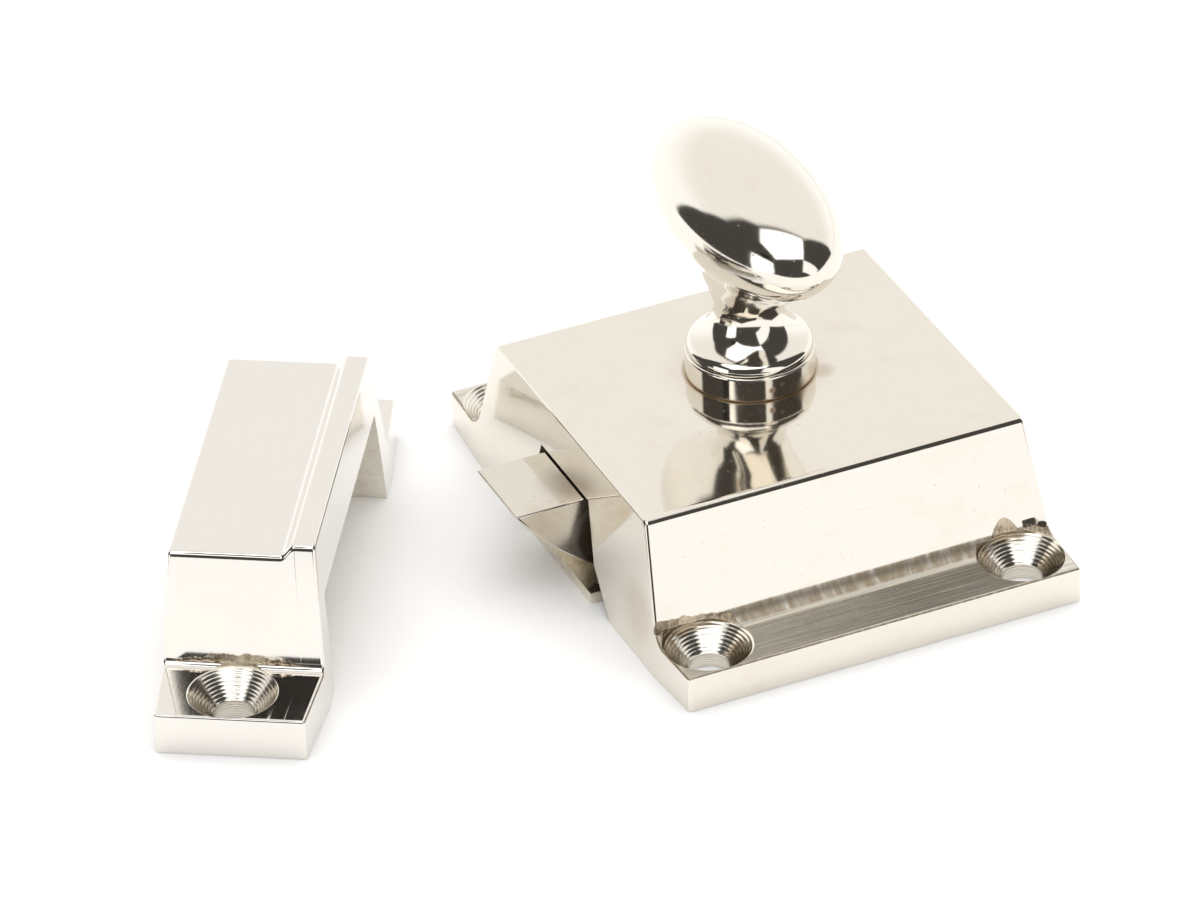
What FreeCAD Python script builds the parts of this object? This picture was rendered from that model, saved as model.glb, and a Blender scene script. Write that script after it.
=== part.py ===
import FreeCAD, Part
import math
import os
import re
import Sketcher

# Surface mounted cupboard catch: a cast case with a spring bolt worked by an oval knob, and its keeper.
# Millimetres. The back of the case lies on z = 0, the bolt points to -x and the knob to +z.

SIZES = {
    # Case
    "case_width": 45.0, "case_length": 60.0, "case_height": 16.0, "flange_thick": 4.0,
    "top_length": 37.4, "foot_length": 45.4, "side_draft": 1.33, "flange_taper": 0.55,
    "top_round": 1.0, "cove_round": 2.2, "edge_round": 0.35,
    "wall_thick": 3.0, "roof_thick": 3.0, "cavity_length": 32.0,
    # Screw holes through the flanges
    "hole_side_inset": 4.9, "hole_end_inset": 4.65, "hole_diameter": 4.2, "sink_diameter": 9.0,
    "clearing_depth": 1.85, "relief_radius": 7.5, "relief_depth": 0.65, "relief_step": 0.9,
    # Opening for the bolt
    "opening_top": 10.8, "opening_top_width": 11.3, "opening_knee": 6.6, "opening_knee_width": 15.6,
    "opening_foot_width": 25.6,
    # Back plate and its screws
    "plate_thick": 1.2, "plate_gap": 0.1, "tongue_width": 15.6, "tongue_out": 0.3,
    "screw_radius": 1.0, "screw_length": 6.0, "screw_head_radius": 1.9, "screw_gap": 0.03,
    "screw_slot_width": 0.5, "screw_slot_depth": 0.45, "boss_radius": 2.6, "boss_inset": 2.4,
    # Bolt
    "bolt_side": 0.55, "bolt_width": 10.0, "bolt_top": 10.5, "bolt_reach": 29.2, "bolt_gap": 0.1,
    "bolt_tip_thick": 0.25, "bolt_bevel_end": 19.4, "bolt_bevel_radius": 28.4, "bolt_head_rear": 12.2,
    "tail_top": 5.0, "tail_end": 8.0, "slot_width": 5.2, "lug_length": 4.0,
    "guide_length": 6.0, "guide_wall": 3.0,
    # Bolt spring
    "spring_diameter": 4.4, "spring_wire": 0.6, "spring_turns": 14.0, "spring_lift": 0.25,
    # Knob, collar and spindle
    "knob_shift_x": 0.4, "knob_shift_y": 2.5, "collar_radius": 6.76, "collar_height": 2.8,
    "collar_round": 0.3, "shank_radius": 5.0, "press_gap": 0.02, "running_gap": 0.05, "axial_play": 0.05,
    "journal_radius": 3.5, "stem_radius": 2.0, "stem_depth": 7.4,
    "bead_radius": 6.6, "bead_foot": 0.2, "bead_rise": 1.28, "bead_curve": 1.25, "shoulder_radius": 5.975,
    "neck_radius": 3.6, "neck_rise": 4.12, "neck_curve": 4.75, "flare_start": 24.6,
    "head_centre": 35.4, "head_width": 15.9, "head_length": 31.9, "head_depth": 13.86, "flare_inset": 0.2,
    # Cam and what holds it
    "square_width": 4.8, "cam_height": 4.15, "cam_thick": 2.5, "cam_hub_radius": 4.2, "cam_base_radius": 5.5,
    "cam_start": 1.2, "cam_gap": 0.05, "knob_turn_degrees": 80.0, "cam_tip_degrees": 8.0,
    "washer_thick": 0.6, "washer_radius": 5.5, "clip_thick": 0.6, "clip_radius": 4.0, "clip_slot": 3.4,
    "groove_radius": 1.9, "spindle_end": 0.85,
    # Keeper
    "keeper_x": -50.2, "keeper_y": 9.2, "keeper_turn": -31.6, "keeper_width": 17.0, "keeper_length": 59.6,
    "keeper_height": 16.4, "keeper_ridge": 1.15, "keeper_ridge_width": 1.9, "keeper_ridge_cove": 1.4,
    "keeper_lug": 4.5, "keeper_foot_length": 41.8, "keeper_top_length": 36.3, "keeper_draft": 1.0,
    "keeper_taper": 0.85, "keeper_hole_inset": 4.55, "keeper_hole_shift": -0.4,
    "keeper_clearing_depth": 0.15, "keeper_relief_radius": 55.0, "keeper_relief_depth": 0.17,
    "keeper_mouth_length": 35.4, "keeper_mouth_top_length": 33.2, "keeper_mouth_height": 11.0,
    "keeper_back_wall": 2.5,
}

# Heights and places worked out from the sizes, as formulas that the sheet's names fill
CAVITY_TOP = "(case_height - roof_thick)"
CAVITY_SIDE = "(case_width / 2 - wall_thick)"
COLLAR_TOP = "(case_height + collar_height)"
KNOB_FOOT = f"({COLLAR_TOP} + axial_play)"
HUB_TOP = f"({CAVITY_TOP} - axial_play - washer_thick)"
CAM_FOOT = f"({HUB_TOP} - cam_height)"
GROOVE_FOOT = f"({CAM_FOOT} - clip_thick - axial_play)"
BOLT_FLOOR = "(plate_thick + bolt_gap)"
LUG_FACE = "(knob_shift_x + cam_start + cam_gap)"

doc = FreeCAD.newDocument("cupboard_latch")
sheet = doc.addObject("Spreadsheet::Sheet", "Size")
for row, (alias, size) in enumerate(SIZES.items(), start=1):
    sheet.set(f"A{row}", str(size))
    sheet.setAlias(f"A{row}", alias)
doc.recompute()


def bound(formula):
    """Point each size name in a formula at its cell."""
    return re.sub(r"[a-z]+(?:_[a-z]+)+", r"Size.\g<0>", formula)


def value(formula):
    """Work a formula out from the sheet."""
    return float(sheet.evalExpression(bound(formula)))


def bind(feature, formulas):
    """Bind a feature's properties to formulas of the sheet."""
    for name, formula in formulas.items():
        feature.setExpression(name, bound(formula))
    return feature


def new_body(label):
    body = doc.addObject("PartDesign::Body", label)
    body.Label = label
    return body


def sketch(body, name, role, offset="0"):
    """Attach a sketch to one of the body's own origin planes, moved along its normal."""
    drawing = body.newObject("Sketcher::SketchObject", name)
    plane = next(item for item in body.Origin.OriginFeatures if item.Role == role)
    drawing.AttachmentSupport = [(plane, "")]
    drawing.MapMode = "FlatFace"
    return bind(drawing, {"AttachmentOffset.Base.z": offset})


def hold(drawing, constraint, name, formula):
    """Add a named constraint and bind its value."""
    index = drawing.addConstraint(constraint)
    drawing.renameConstraint(index, name)
    drawing.setExpression(f"Constraints.{name}", bound(formula))


def place(drawing, geometry, corner, name, x, y):
    """Fix a point of the sketch at formulas for its two coordinates."""
    hold(drawing, Sketcher.Constraint("DistanceX", -1, 1, geometry, corner, value(x)), f"{name}_x", x)
    hold(drawing, Sketcher.Constraint("DistanceY", -1, 1, geometry, corner, value(y)), f"{name}_y", y)


def arc_between(start, end, radius, side):
    """Arc from start to end that bends to the given side (1 left, -1 right) of the straight line."""
    chord = end - start
    reach = math.sqrt(max(radius ** 2 - (chord.Length / 2) ** 2, 0))
    centre = (start + end) / 2 + FreeCAD.Vector(-chord.y, chord.x, 0).normalize() * reach * side
    first, last = (start, end) if side > 0 else (end, start)
    angles = [math.atan2(point.y - centre.y, point.x - centre.x) for point in (first, last)]
    return Part.ArcOfCircle(Part.Circle(centre, FreeCAD.Vector(0, 0, 1), radius), *angles)


def outline(drawing, corners, tag="p"):
    """Draw a closed outline. A corner is (x, y), or (x, y, radius, side) where an arc leaves it."""
    points = [FreeCAD.Vector(value(corner[0]), value(corner[1]), 0) for corner in corners]
    runs = []
    for number, corner in enumerate(corners):
        start, end = points[number], points[(number + 1) % len(points)]
        if len(corner) == 2:
            index = drawing.addGeometry(Part.LineSegment(start, end))
            runs.append((index, 1, 2))
            continue
        index = drawing.addGeometry(arc_between(start, end, value(corner[2]), corner[3]))
        runs.append((index, 1, 2) if corner[3] > 0 else (index, 2, 1))
        hold(drawing, Sketcher.Constraint("Radius", index, value(corner[2])), f"{tag}{number}_r", corner[2])
    for number, (index, first, last) in enumerate(runs):
        following = runs[(number + 1) % len(runs)]
        drawing.addConstraint(Sketcher.Constraint("Coincident", index, last, following[0], following[1]))
        place(drawing, index, first, f"{tag}{number}", corners[number][0], corners[number][1])


def circle(drawing, x, y, radius, tag="c"):
    centre = FreeCAD.Vector(value(x), value(y), 0)
    index = drawing.addGeometry(Part.Circle(centre, FreeCAD.Vector(0, 0, 1), value(radius)))
    hold(drawing, Sketcher.Constraint("Radius", index, value(radius)), f"{tag}_r", radius)
    place(drawing, index, 3, tag, x, y)


def box_outline(x_low, x_high, y_low, y_high):
    return [(x_low, y_low), (x_high, y_low), (x_high, y_high), (x_low, y_high)]


def pad(body, drawing, length, symmetric=False):
    feature = body.newObject("PartDesign::Pad", f"{drawing.Name}_pad")
    feature.Profile = drawing
    feature.Midplane = symmetric
    bind(feature, {"Length": length})
    doc.recompute()
    return feature


def pocket(body, drawing, length, symmetric=False, forward=True):
    """Cut along the sketch's normal, or to both sides of it, and make sure that it cuts."""
    before = body.Shape.Volume
    feature = body.newObject("PartDesign::Pocket", f"{drawing.Name}_cut")
    feature.Profile = drawing
    feature.Midplane = symmetric
    feature.Reversed = forward and not symmetric
    bind(feature, {"Length": length})
    doc.recompute()
    if body.Shape.Volume >= before:
        raise RuntimeError(f"{drawing.Name} cuts nothing")
    return feature


def turned(body, drawing):
    """Revolve a sketch of the XZ plane about the axis through its own origin."""
    feature = body.newObject("PartDesign::Revolution", f"{drawing.Name}_turned")
    feature.Profile = drawing
    feature.ReferenceAxis = (drawing, ["V_Axis"])
    feature.Angle = 360
    doc.recompute()
    return feature


def cone_cut(body, name, x, y, z, low_radius, high_radius, height):
    cut = body.newObject("PartDesign::SubtractiveCone", name)
    bind(cut, {"Placement.Base.x": x, "Placement.Base.y": y, "Placement.Base.z": z,
               "Radius1": low_radius, "Radius2": high_radius, "Height": height})
    doc.recompute()


def fillet(body, name, radius, chosen):
    """Round the edges of the body that the test picks."""
    base = body.Tip
    names = [f"Edge{number}" for number, edge in enumerate(base.Shape.Edges, start=1) if chosen(edge)]
    feature = body.newObject("PartDesign::Fillet", name)
    feature.Base = (base, names)
    bind(feature, {"Radius": radius})
    doc.recompute()


def runs_along_x(edge, y, z):
    """True for an edge along x whose middle lies at the given y, on either side, and z."""
    middle = edge.CenterOfMass
    return abs(abs(middle.y) - y) < 0.01 and abs(middle.z - z) < 0.01 and abs(middle.x) < 0.01


def rims(edge, width, draft, taper, lug, height):
    """True for an edge along the upper rim of the two side faces, the tapered lugs among them."""
    ends = [edge.valueAt(edge.FirstParameter), edge.valueAt(edge.LastParameter)]

    def off_side(point):
        return width / 2 - draft * point.z / height - abs(point.x)
    flat = abs(ends[0].y - ends[1].y) > 0.01
    return flat and all(-0.01 < off_side(point) < taper + 0.2 and point.z > lug - 0.01 for point in ends)


def hat(body, length, foot, top, lug, height, width):
    """Section of a block with a screw lug at each end, extruded across its width."""
    drawing = sketch(body, f"{body.Name}_section", "YZ_Plane")
    half = [(f"{length} / 2", "0"), (f"{length} / 2", lug), (f"{foot} / 2", lug), (f"{top} / 2", height)]
    outline(drawing, half + [(f"-({y})", z) for y, z in reversed(half)])
    pad(body, drawing, width, symmetric=True)


def draft_sides(body, width, draft, height, length):
    """Lean both side faces inwards by the draft over the height."""
    drawing = sketch(body, f"{body.Name}_draft", "XZ_Plane")
    for side, tag in (("1", "a"), ("-1", "b")):
        outline(drawing, [(f"{side} * {width} / 2", "0"), (f"{side} * {width}", "0"),
                          (f"{side} * {width}", f"2 * {height}"),
                          (f"{side} * ({width} / 2 - 2 * {draft})", f"2 * {height}")], tag)
    pocket(body, drawing, f"2 * {length}", symmetric=True)


def taper_lugs(body, width, taper, foot, length, height):
    """Narrow both lugs towards their ends."""
    drawing = sketch(body, f"{body.Name}_taper", "XY_Plane")
    for along in ("1", "-1"):
        for across in ("1", "-1"):
            tag = "lug" + "ab"[along == "1"] + "ab"[across == "1"]
            outline(drawing, [(f"{across} * {width} / 2", f"{along} * {foot} / 2"),
                              (f"{across} * {width}", f"{along} * {foot} / 2"),
                              (f"{across} * {width}", f"{along} * (2 * {length} - {foot}) / 2"),
                              (f"{across} * ({width} / 2 - 2 * {taper})",
                               f"{along} * (2 * {length} - {foot}) / 2")], tag)
    pocket(body, drawing, height)


def screw_holes(body, places, row, lug, foot, slope, clearing, relief_radius, relief_depth):
    """Countersunk holes, a row of them at each end. Behind each one the foot of the slope is cleared
    around the screw's head and ground back in a shallow arc above that."""
    drilled = sketch(body, f"{body.Name}_holes", "XY_Plane")
    cleared = sketch(body, f"{body.Name}_clearing", "XY_Plane", lug)
    for number, (x, y) in enumerate(places):
        circle(drilled, x, y, "hole_diameter / 2", f"hole{number}")
        circle(cleared, x, y, f"{row} - {foot} / 2 + {clearing}", f"clear{number}")
    pocket(body, drilled, lug)
    pocket(body, cleared, "relief_step")
    depth = "(sink_diameter - hole_diameter) / 2"
    for number, (x, y) in enumerate(places):
        cone_cut(body, f"{body.Name}_sink{number}", x, y, f"{lug} - {depth}", "hole_diameter / 2",
                 "sink_diameter / 2", depth)
        ground = sketch(body, f"{body.Name}_ground{number}", "XY_Plane", f"{lug} + relief_step")
        side = "-1" if value(y) < 0 else "1"
        wall = f"({foot} / 2 - {slope} * relief_step)"
        circle(ground, x, f"{side} * ({wall} + {relief_radius} - {relief_depth})", relief_radius)
        pocket(body, ground, f"2 * {lug}")


HOLE_ROW = "(case_length / 2 - hole_end_inset)"
CASE_SLOPE = "((foot_length - top_length) / 2 / (case_height - flange_thick))"
FLANGE_HOLES = [(f"{across} * (case_width / 2 - hole_side_inset)", f"{along} * {HOLE_ROW}")
                for across in ("-1", "1") for along in ("-1", "1")]
PLATE_HOLES = [(f"{across} * ({CAVITY_SIDE} - boss_inset)", f"{along} * (cavity_length / 2 - boss_inset)")
               for across in ("-1", "1") for along in ("-1", "1")]


def make_case():
    """Hollow casting with two screw flanges, an opening for the bolt and a bore for the collar."""
    body = new_body("case")
    hat(body, "case_length", "foot_length", "top_length", "flange_thick", "case_height", "case_width")
    draft_sides(body, "case_width", "side_draft", "case_height", "case_length")
    taper_lugs(body, "case_width", "flange_taper", "foot_length", "case_length", "case_height")
    top, foot = value("top_length / 2"), value("foot_length / 2")
    fillet(body, "case_top_round", "top_round", lambda edge: runs_along_x(edge, top, value("case_height")))
    fillet(body, "case_cove", "cove_round", lambda edge: runs_along_x(edge, foot, value("flange_thick")))
    case = [value(name) for name in ("case_width", "side_draft", "flange_taper", "flange_thick",
                                     "case_height")]
    fillet(body, "case_edge_round", "edge_round", lambda edge: rims(edge, *case))

    cavity = sketch(body, "case_cavity", "XY_Plane")
    outline(cavity, box_outline(f"-{CAVITY_SIDE}", CAVITY_SIDE, "-cavity_length / 2", "cavity_length / 2"))
    pocket(body, cavity, CAVITY_TOP)

    bosses = sketch(body, "case_bosses", "XY_Plane", "plate_thick")
    for number, (x, y) in enumerate(PLATE_HOLES):
        circle(bosses, x, y, "boss_radius", f"boss{number}")
    pad(body, bosses, f"{CAVITY_TOP} - plate_thick")
    threads = sketch(body, "case_threads", "XY_Plane", "plate_thick")
    for number, (x, y) in enumerate(PLATE_HOLES):
        circle(threads, x, y, "screw_radius + screw_gap", f"thread{number}")
    pocket(body, threads, "screw_length")

    guide = sketch(body, "case_guide", "YZ_Plane", f"-{CAVITY_SIDE}")
    inner, outer = "(bolt_width / 2 + bolt_gap)", "(bolt_width / 2 + bolt_gap + guide_wall)"
    outline(guide, [(f"bolt_side - {outer}", "plate_thick"), (f"bolt_side - {inner}", "plate_thick"),
                    (f"bolt_side - {inner}", "bolt_top + bolt_gap"),
                    (f"bolt_side + {inner}", "bolt_top + bolt_gap"), (f"bolt_side + {inner}", "plate_thick"),
                    (f"bolt_side + {outer}", "plate_thick"), (f"bolt_side + {outer}", CAVITY_TOP),
                    (f"bolt_side - {outer}", CAVITY_TOP)])
    pad(body, guide, "guide_length")

    opening = sketch(body, "case_opening", "YZ_Plane", "-case_width / 2")
    half = [("opening_foot_width / 2", "0"), ("opening_knee_width / 2", "opening_knee"),
            ("opening_top_width / 2", "opening_top")]
    outline(opening, [(f"bolt_side + {y}", z) for y, z in half]
            + [(f"bolt_side - {y}", z) for y, z in reversed(half)])
    pocket(body, opening, "wall_thick")

    bore = sketch(body, "case_bore", "XY_Plane", CAVITY_TOP)
    circle(bore, "knob_shift_x", "knob_shift_y", "shank_radius")
    pocket(body, bore, "roof_thick")
    screw_holes(body, FLANGE_HOLES, HOLE_ROW, "flange_thick", "foot_length", CASE_SLOPE, "clearing_depth",
                "relief_radius", "relief_depth")
    return body


def make_back_plate():
    """Plate that closes the case from behind, with a tongue under the bolt."""
    body = new_body("back_plate")
    drawing = sketch(body, "plate_outline", "XY_Plane")
    side, end = f"({CAVITY_SIDE} - plate_gap)", "(cavity_length / 2 - plate_gap)"
    tongue = "(case_width / 2 + tongue_out)"
    outline(drawing, [(f"-{side}", f"-{end}"), (side, f"-{end}"), (side, end), (f"-{side}", end),
                      (f"-{side}", "tongue_width / 2"), (f"-{tongue}", "tongue_width / 2"),
                      (f"-{tongue}", "-tongue_width / 2"), (f"-{side}", "-tongue_width / 2")])
    pad(body, drawing, "plate_thick")
    for number, (x, y) in enumerate(PLATE_HOLES):
        cone_cut(body, f"plate_sink{number}", x, y, "0", "screw_head_radius + screw_gap",
                 "screw_radius + screw_gap", "plate_thick")
    return body


def make_plate_screws():
    """Four small slotted countersunk screws that hold the back plate."""
    screws = []
    for number, (x, y) in enumerate(PLATE_HOLES):
        at = {"Placement.Base.x": x, "Placement.Base.y": y}
        head = doc.addObject("Part::Cone", f"screw_head{number}")
        bind(head, {**at, "Radius1": "screw_head_radius", "Radius2": "screw_radius", "Height": "plate_thick"})
        shank = doc.addObject("Part::Cylinder", f"screw_shank{number}")
        bind(shank, {**at, "Placement.Base.z": "plate_thick / 2", "Radius": "screw_radius",
                     "Height": "screw_length"})
        blank = doc.addObject("Part::Fuse", f"screw_blank{number}")
        blank.Base, blank.Tool = head, shank
        slot = doc.addObject("Part::Box", f"screw_slot{number}")
        bind(slot, {"Placement.Base.x": f"{x} - screw_head_radius",
                    "Placement.Base.y": f"{y} - screw_slot_width / 2",
                    "Length": "2 * screw_head_radius", "Width": "screw_slot_width",
                    "Height": "screw_slot_depth"})
        screw = doc.addObject("Part::Cut", f"plate_screw{number}")
        screw.Base, screw.Tool = blank, slot
        screws.append(screw)
    group = doc.addObject("Part::Compound", "plate_screws")
    group.Links = screws
    return group


def make_collar_bush():
    """Flanged bush in the roof of the case: the ring under the knob and the spindle's bearing."""
    body = new_body("collar_bush")
    drawing = sketch(body, "bush_section", "XZ_Plane")
    inner, shank = "(journal_radius + running_gap)", "(shank_radius - press_gap)"
    outline(drawing, [(inner, CAVITY_TOP), (shank, CAVITY_TOP), (shank, "case_height"),
                      ("collar_radius", "case_height"), ("collar_radius", f"{COLLAR_TOP} - collar_round"),
                      ("collar_radius - collar_round", COLLAR_TOP), (inner, COLLAR_TOP)])
    turned(body, drawing)
    return bind(body, {"Placement.Base.x": "knob_shift_x", "Placement.Base.y": "knob_shift_y"})


def make_thrust_washer():
    """Washer between the cam and the underside of the roof."""
    body = new_body("thrust_washer")
    drawing = sketch(body, "washer_ring", "XY_Plane", HUB_TOP)
    circle(drawing, "0", "0", "washer_radius", "rim")
    circle(drawing, "0", "0", "journal_radius + running_gap", "bore")
    pad(body, drawing, "washer_thick")
    return bind(body, {"Placement.Base.x": "knob_shift_x", "Placement.Base.y": "knob_shift_y"})


def make_spindle():
    """Turned pin: stem for the knob, journal, square for the cam and a grooved end for the clip."""
    body = new_body("spindle")
    drawing = sketch(body, "spindle_section", "XZ_Plane")
    end = f"({GROOVE_FOOT} - spindle_end)"
    outline(drawing, [("0", end), ("square_width / 2", end), ("square_width / 2", GROOVE_FOOT),
                      ("groove_radius", GROOVE_FOOT), ("groove_radius", CAM_FOOT),
                      ("square_width / 2", CAM_FOOT), ("square_width / 2", HUB_TOP),
                      ("journal_radius", HUB_TOP), ("journal_radius", KNOB_FOOT),
                      ("stem_radius", KNOB_FOOT), ("stem_radius", f"{KNOB_FOOT} + stem_depth"),
                      ("0", f"{KNOB_FOOT} + stem_depth")])
    turned(body, drawing)
    square = sketch(body, "spindle_square", "XY_Plane", CAM_FOOT)
    outline(square, box_outline("-square_width / 2", "square_width / 2",
                                "-square_width / 2", "square_width / 2"))
    pad(body, square, "cam_height")
    return bind(body, {"Placement.Base.x": "knob_shift_x", "Placement.Base.y": "knob_shift_y"})


def ellipse_ring(name, height, half_width, half_length):
    """Level ellipse with its long axis along y, about the knob's axis."""
    ring = doc.addObject("Part::Ellipse", name)
    bind(ring, {"MajorRadius": half_length, "MinorRadius": half_width, "Placement.Base.x": "knob_shift_x",
                "Placement.Base.y": "knob_shift_y", "Placement.Base.z": height})
    ring.Placement.Rotation = FreeCAD.Rotation(FreeCAD.Vector(0, 0, 1), 90)
    return ring


def head_cut(height, size):
    """Half size of the oval head's section at a height."""
    return f"{size} / 2 * sqrt(1 - pow(({height} - head_centre) / (head_depth / 2); 2))"


def make_knob():
    """Cast oval knob: round bead, waisted neck, and a flare that opens into the oval head."""
    stem = doc.addObject("PartDesign::Body", "knob_stem")
    drawing = sketch(stem, "knob_section", "XZ_Plane")
    bead_top, neck = f"({KNOB_FOOT} + bead_rise)", f"({KNOB_FOOT} + bead_rise + neck_rise)"
    outline(drawing, [("0", KNOB_FOOT), ("bead_radius - bead_foot", KNOB_FOOT),
                      ("bead_radius", f"{KNOB_FOOT} + bead_foot", "bead_curve", 1),
                      ("shoulder_radius", bead_top, "neck_curve", -1), ("neck_radius", neck),
                      ("neck_radius", "flare_start + 1"), ("0", "flare_start + 1")])
    turned(stem, drawing)
    bind(stem, {"Placement.Base.x": "knob_shift_x", "Placement.Base.y": "knob_shift_y"})

    flare_top = "(head_centre - head_depth / 4)"
    rise = f"({flare_top} - flare_start)"
    wide, long = f"({head_cut(flare_top, 'head_width')})", f"({head_cut(flare_top, 'head_length')})"
    foot = "neck_radius - flare_inset"
    sections = [ellipse_ring("flare0", "flare_start", foot, f"1.001 * ({foot})")]
    for number, (share, out_wide, out_long) in enumerate(((0.25, 0.12, 0.22), (0.5, 0.38, 0.46),
                                                         (0.75, 0.62, 0.72), (1.0, 1.0, 1.0)), start=1):
        inset = f"flare_inset * {share}"
        sections.append(ellipse_ring(f"flare{number}", f"flare_start + {share} * {rise}",
                                     f"neck_radius + {out_wide} * ({wide} - neck_radius) - {inset}",
                                     f"neck_radius + {out_long} * ({long} - neck_radius) - {inset}"))
    flare = doc.addObject("Part::Loft", "knob_flare")
    flare.Sections = sections
    flare.Solid = True

    head = doc.addObject("Part::Ellipsoid", "knob_head")
    head.Angle1, head.Angle2 = -90, 90
    bind(head, {"Radius1": "head_depth / 2", "Radius2": "head_width / 2", "Radius3": "head_length / 2",
                "Placement.Base.x": "knob_shift_x", "Placement.Base.y": "knob_shift_y",
                "Placement.Base.z": "head_centre"})
    blank = doc.addObject("Part::MultiFuse", "knob_blank")
    blank.Shapes = [stem, flare, head]
    bore = doc.addObject("Part::Cylinder", "knob_bore")
    bind(bore, {"Radius": "stem_radius + press_gap", "Height": "stem_depth + press_gap",
                "Placement.Base.x": "knob_shift_x", "Placement.Base.y": "knob_shift_y",
                "Placement.Base.z": KNOB_FOOT})
    knob = doc.addObject("Part::Cut", "knob")
    knob.Base, knob.Tool = blank, bore
    return knob


def make_cam():
    """Cam on the spindle's square. Its flank is an involute, so the lug moves evenly with the turn."""
    base, start = value("cam_base_radius"), value("cam_start")
    turn = math.radians(value("knob_turn_degrees"))
    spare = value("cam_gap")

    def flank(angle):
        along = start + base * angle
        return FreeCAD.Vector(math.cos(angle) * along - math.sin(angle) * base,
                              -math.sin(angle) * along - math.cos(angle) * base, 0)

    steps = 24
    first, last = -spare, turn + spare
    points = [flank(first + (last - first) * step / steps) for step in range(steps + 1)]
    curve = Part.BSplineCurve()
    curve.interpolate(points)
    root, tip = points[0], points[-1]
    tip_angle, back_angle = math.atan2(tip.y, tip.x), math.radians(value("cam_tip_degrees"))

    def polar(radius, angle):
        return FreeCAD.Vector(radius * math.cos(angle), radius * math.sin(angle), 0)

    land = Part.Arc(tip, polar(tip.Length, tip_angle - back_angle / 2), polar(tip.Length, tip_angle - back_angle))
    back = polar(value("cam_hub_radius"), tip_angle - math.pi / 3)
    centre = FreeCAD.Vector(0, 0, 0)
    edges = [curve, land, Part.LineSegment(polar(tip.Length, tip_angle - back_angle), back),
             Part.LineSegment(back, centre), Part.LineSegment(centre, root)]
    lobe = Part.Face(Part.Wire([edge.toShape() for edge in edges])).extrude(
        FreeCAD.Vector(0, 0, value("cam_thick")))
    hub = Part.makeCylinder(value("cam_hub_radius"), value("cam_height"))
    hole = value("square_width / 2 + press_gap")
    square = Part.makeBox(2 * hole, 2 * hole, value("cam_height"), FreeCAD.Vector(-hole, -hole, 0))
    cam = doc.addObject("Part::Feature", "cam")
    cam.Shape = hub.fuse(lobe).cut(square).removeSplitter()
    return bind(cam, {"Placement.Base.x": "knob_shift_x", "Placement.Base.y": "knob_shift_y",
                      "Placement.Base.z": CAM_FOOT})


def make_retaining_clip():
    """Open spring clip in the spindle's groove, under the cam."""
    body = new_body("retaining_clip")
    ring = sketch(body, "clip_ring", "XY_Plane", f"{CAM_FOOT} - clip_thick")
    circle(ring, "0", "0", "clip_radius", "rim")
    circle(ring, "0", "0", "groove_radius + press_gap", "bore")
    pad(body, ring, "clip_thick")
    mouth = sketch(body, "clip_mouth", "XY_Plane", f"{CAM_FOOT} - clip_thick")
    outline(mouth, box_outline("-clip_slot / 2", "clip_slot / 2", "0", "clip_radius + clip_slot"))
    pocket(body, mouth, "clip_thick")
    return bind(body, {"Placement.Base.x": "knob_shift_x", "Placement.Base.y": "knob_shift_y"})


def make_bolt():
    """Bolt with a bevelled nose, a forked tail for the spring and a lug for the cam."""
    body = new_body("bolt")
    head = sketch(body, "bolt_head", "XZ_Plane", "-bolt_side")
    outline(head, [("-bolt_reach", "bolt_top"),
                   ("-bolt_reach", "bolt_top - bolt_tip_thick", "bolt_bevel_radius", 1),
                   ("-bolt_bevel_end", BOLT_FLOOR), ("-bolt_head_rear", BOLT_FLOOR),
                   ("-bolt_head_rear", "bolt_top")])
    pad(body, head, "bolt_width", symmetric=True)
    tail = sketch(body, "bolt_tail", "XZ_Plane", "-bolt_side")
    outline(tail, box_outline("-bolt_head_rear", "tail_end", BOLT_FLOOR, "tail_top"))
    pad(body, tail, "bolt_width", symmetric=True)
    low, high = "(bolt_side - bolt_width / 2)", "(bolt_side - slot_width / 2)"
    lug = sketch(body, "bolt_lug", "XY_Plane", "tail_top")
    outline(lug, box_outline(LUG_FACE, f"{LUG_FACE} + lug_length", low, high))
    pad(body, lug, "bolt_top - tail_top")
    slot = sketch(body, "bolt_slot", "XY_Plane", BOLT_FLOOR)
    outline(slot, box_outline("-bolt_head_rear", "tail_end", high, "bolt_side + slot_width / 2"))
    pocket(body, slot, f"tail_top - {BOLT_FLOOR}")
    return body


def make_bolt_spring():
    """Compression spring between the back of the bolt's head and the wall of the case."""
    body = new_body("bolt_spring")
    drawing = sketch(body, "spring_wire_section", "XZ_Plane")
    circle(drawing, "(spring_diameter - spring_wire) / 2", "0", "spring_wire / 2")
    coil = body.newObject("PartDesign::AdditiveHelix", "spring_coil")
    coil.Profile = drawing
    coil.ReferenceAxis = (drawing, ["V_Axis"])
    coil.Mode = "height-turns-angle"
    room = f"({CAVITY_SIDE} + bolt_head_rear - spring_wire)"
    bind(coil, {"Height": room, "Turns": "spring_turns"})
    doc.recompute()
    body.Placement.Rotation = FreeCAD.Rotation(FreeCAD.Vector(0, 1, 0), 90)
    return bind(body, {"Placement.Base.x": "-bolt_head_rear + spring_wire / 2",
                       "Placement.Base.y": "bolt_side",
                       "Placement.Base.z": "plate_thick + spring_lift + spring_diameter / 2"})


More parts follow.
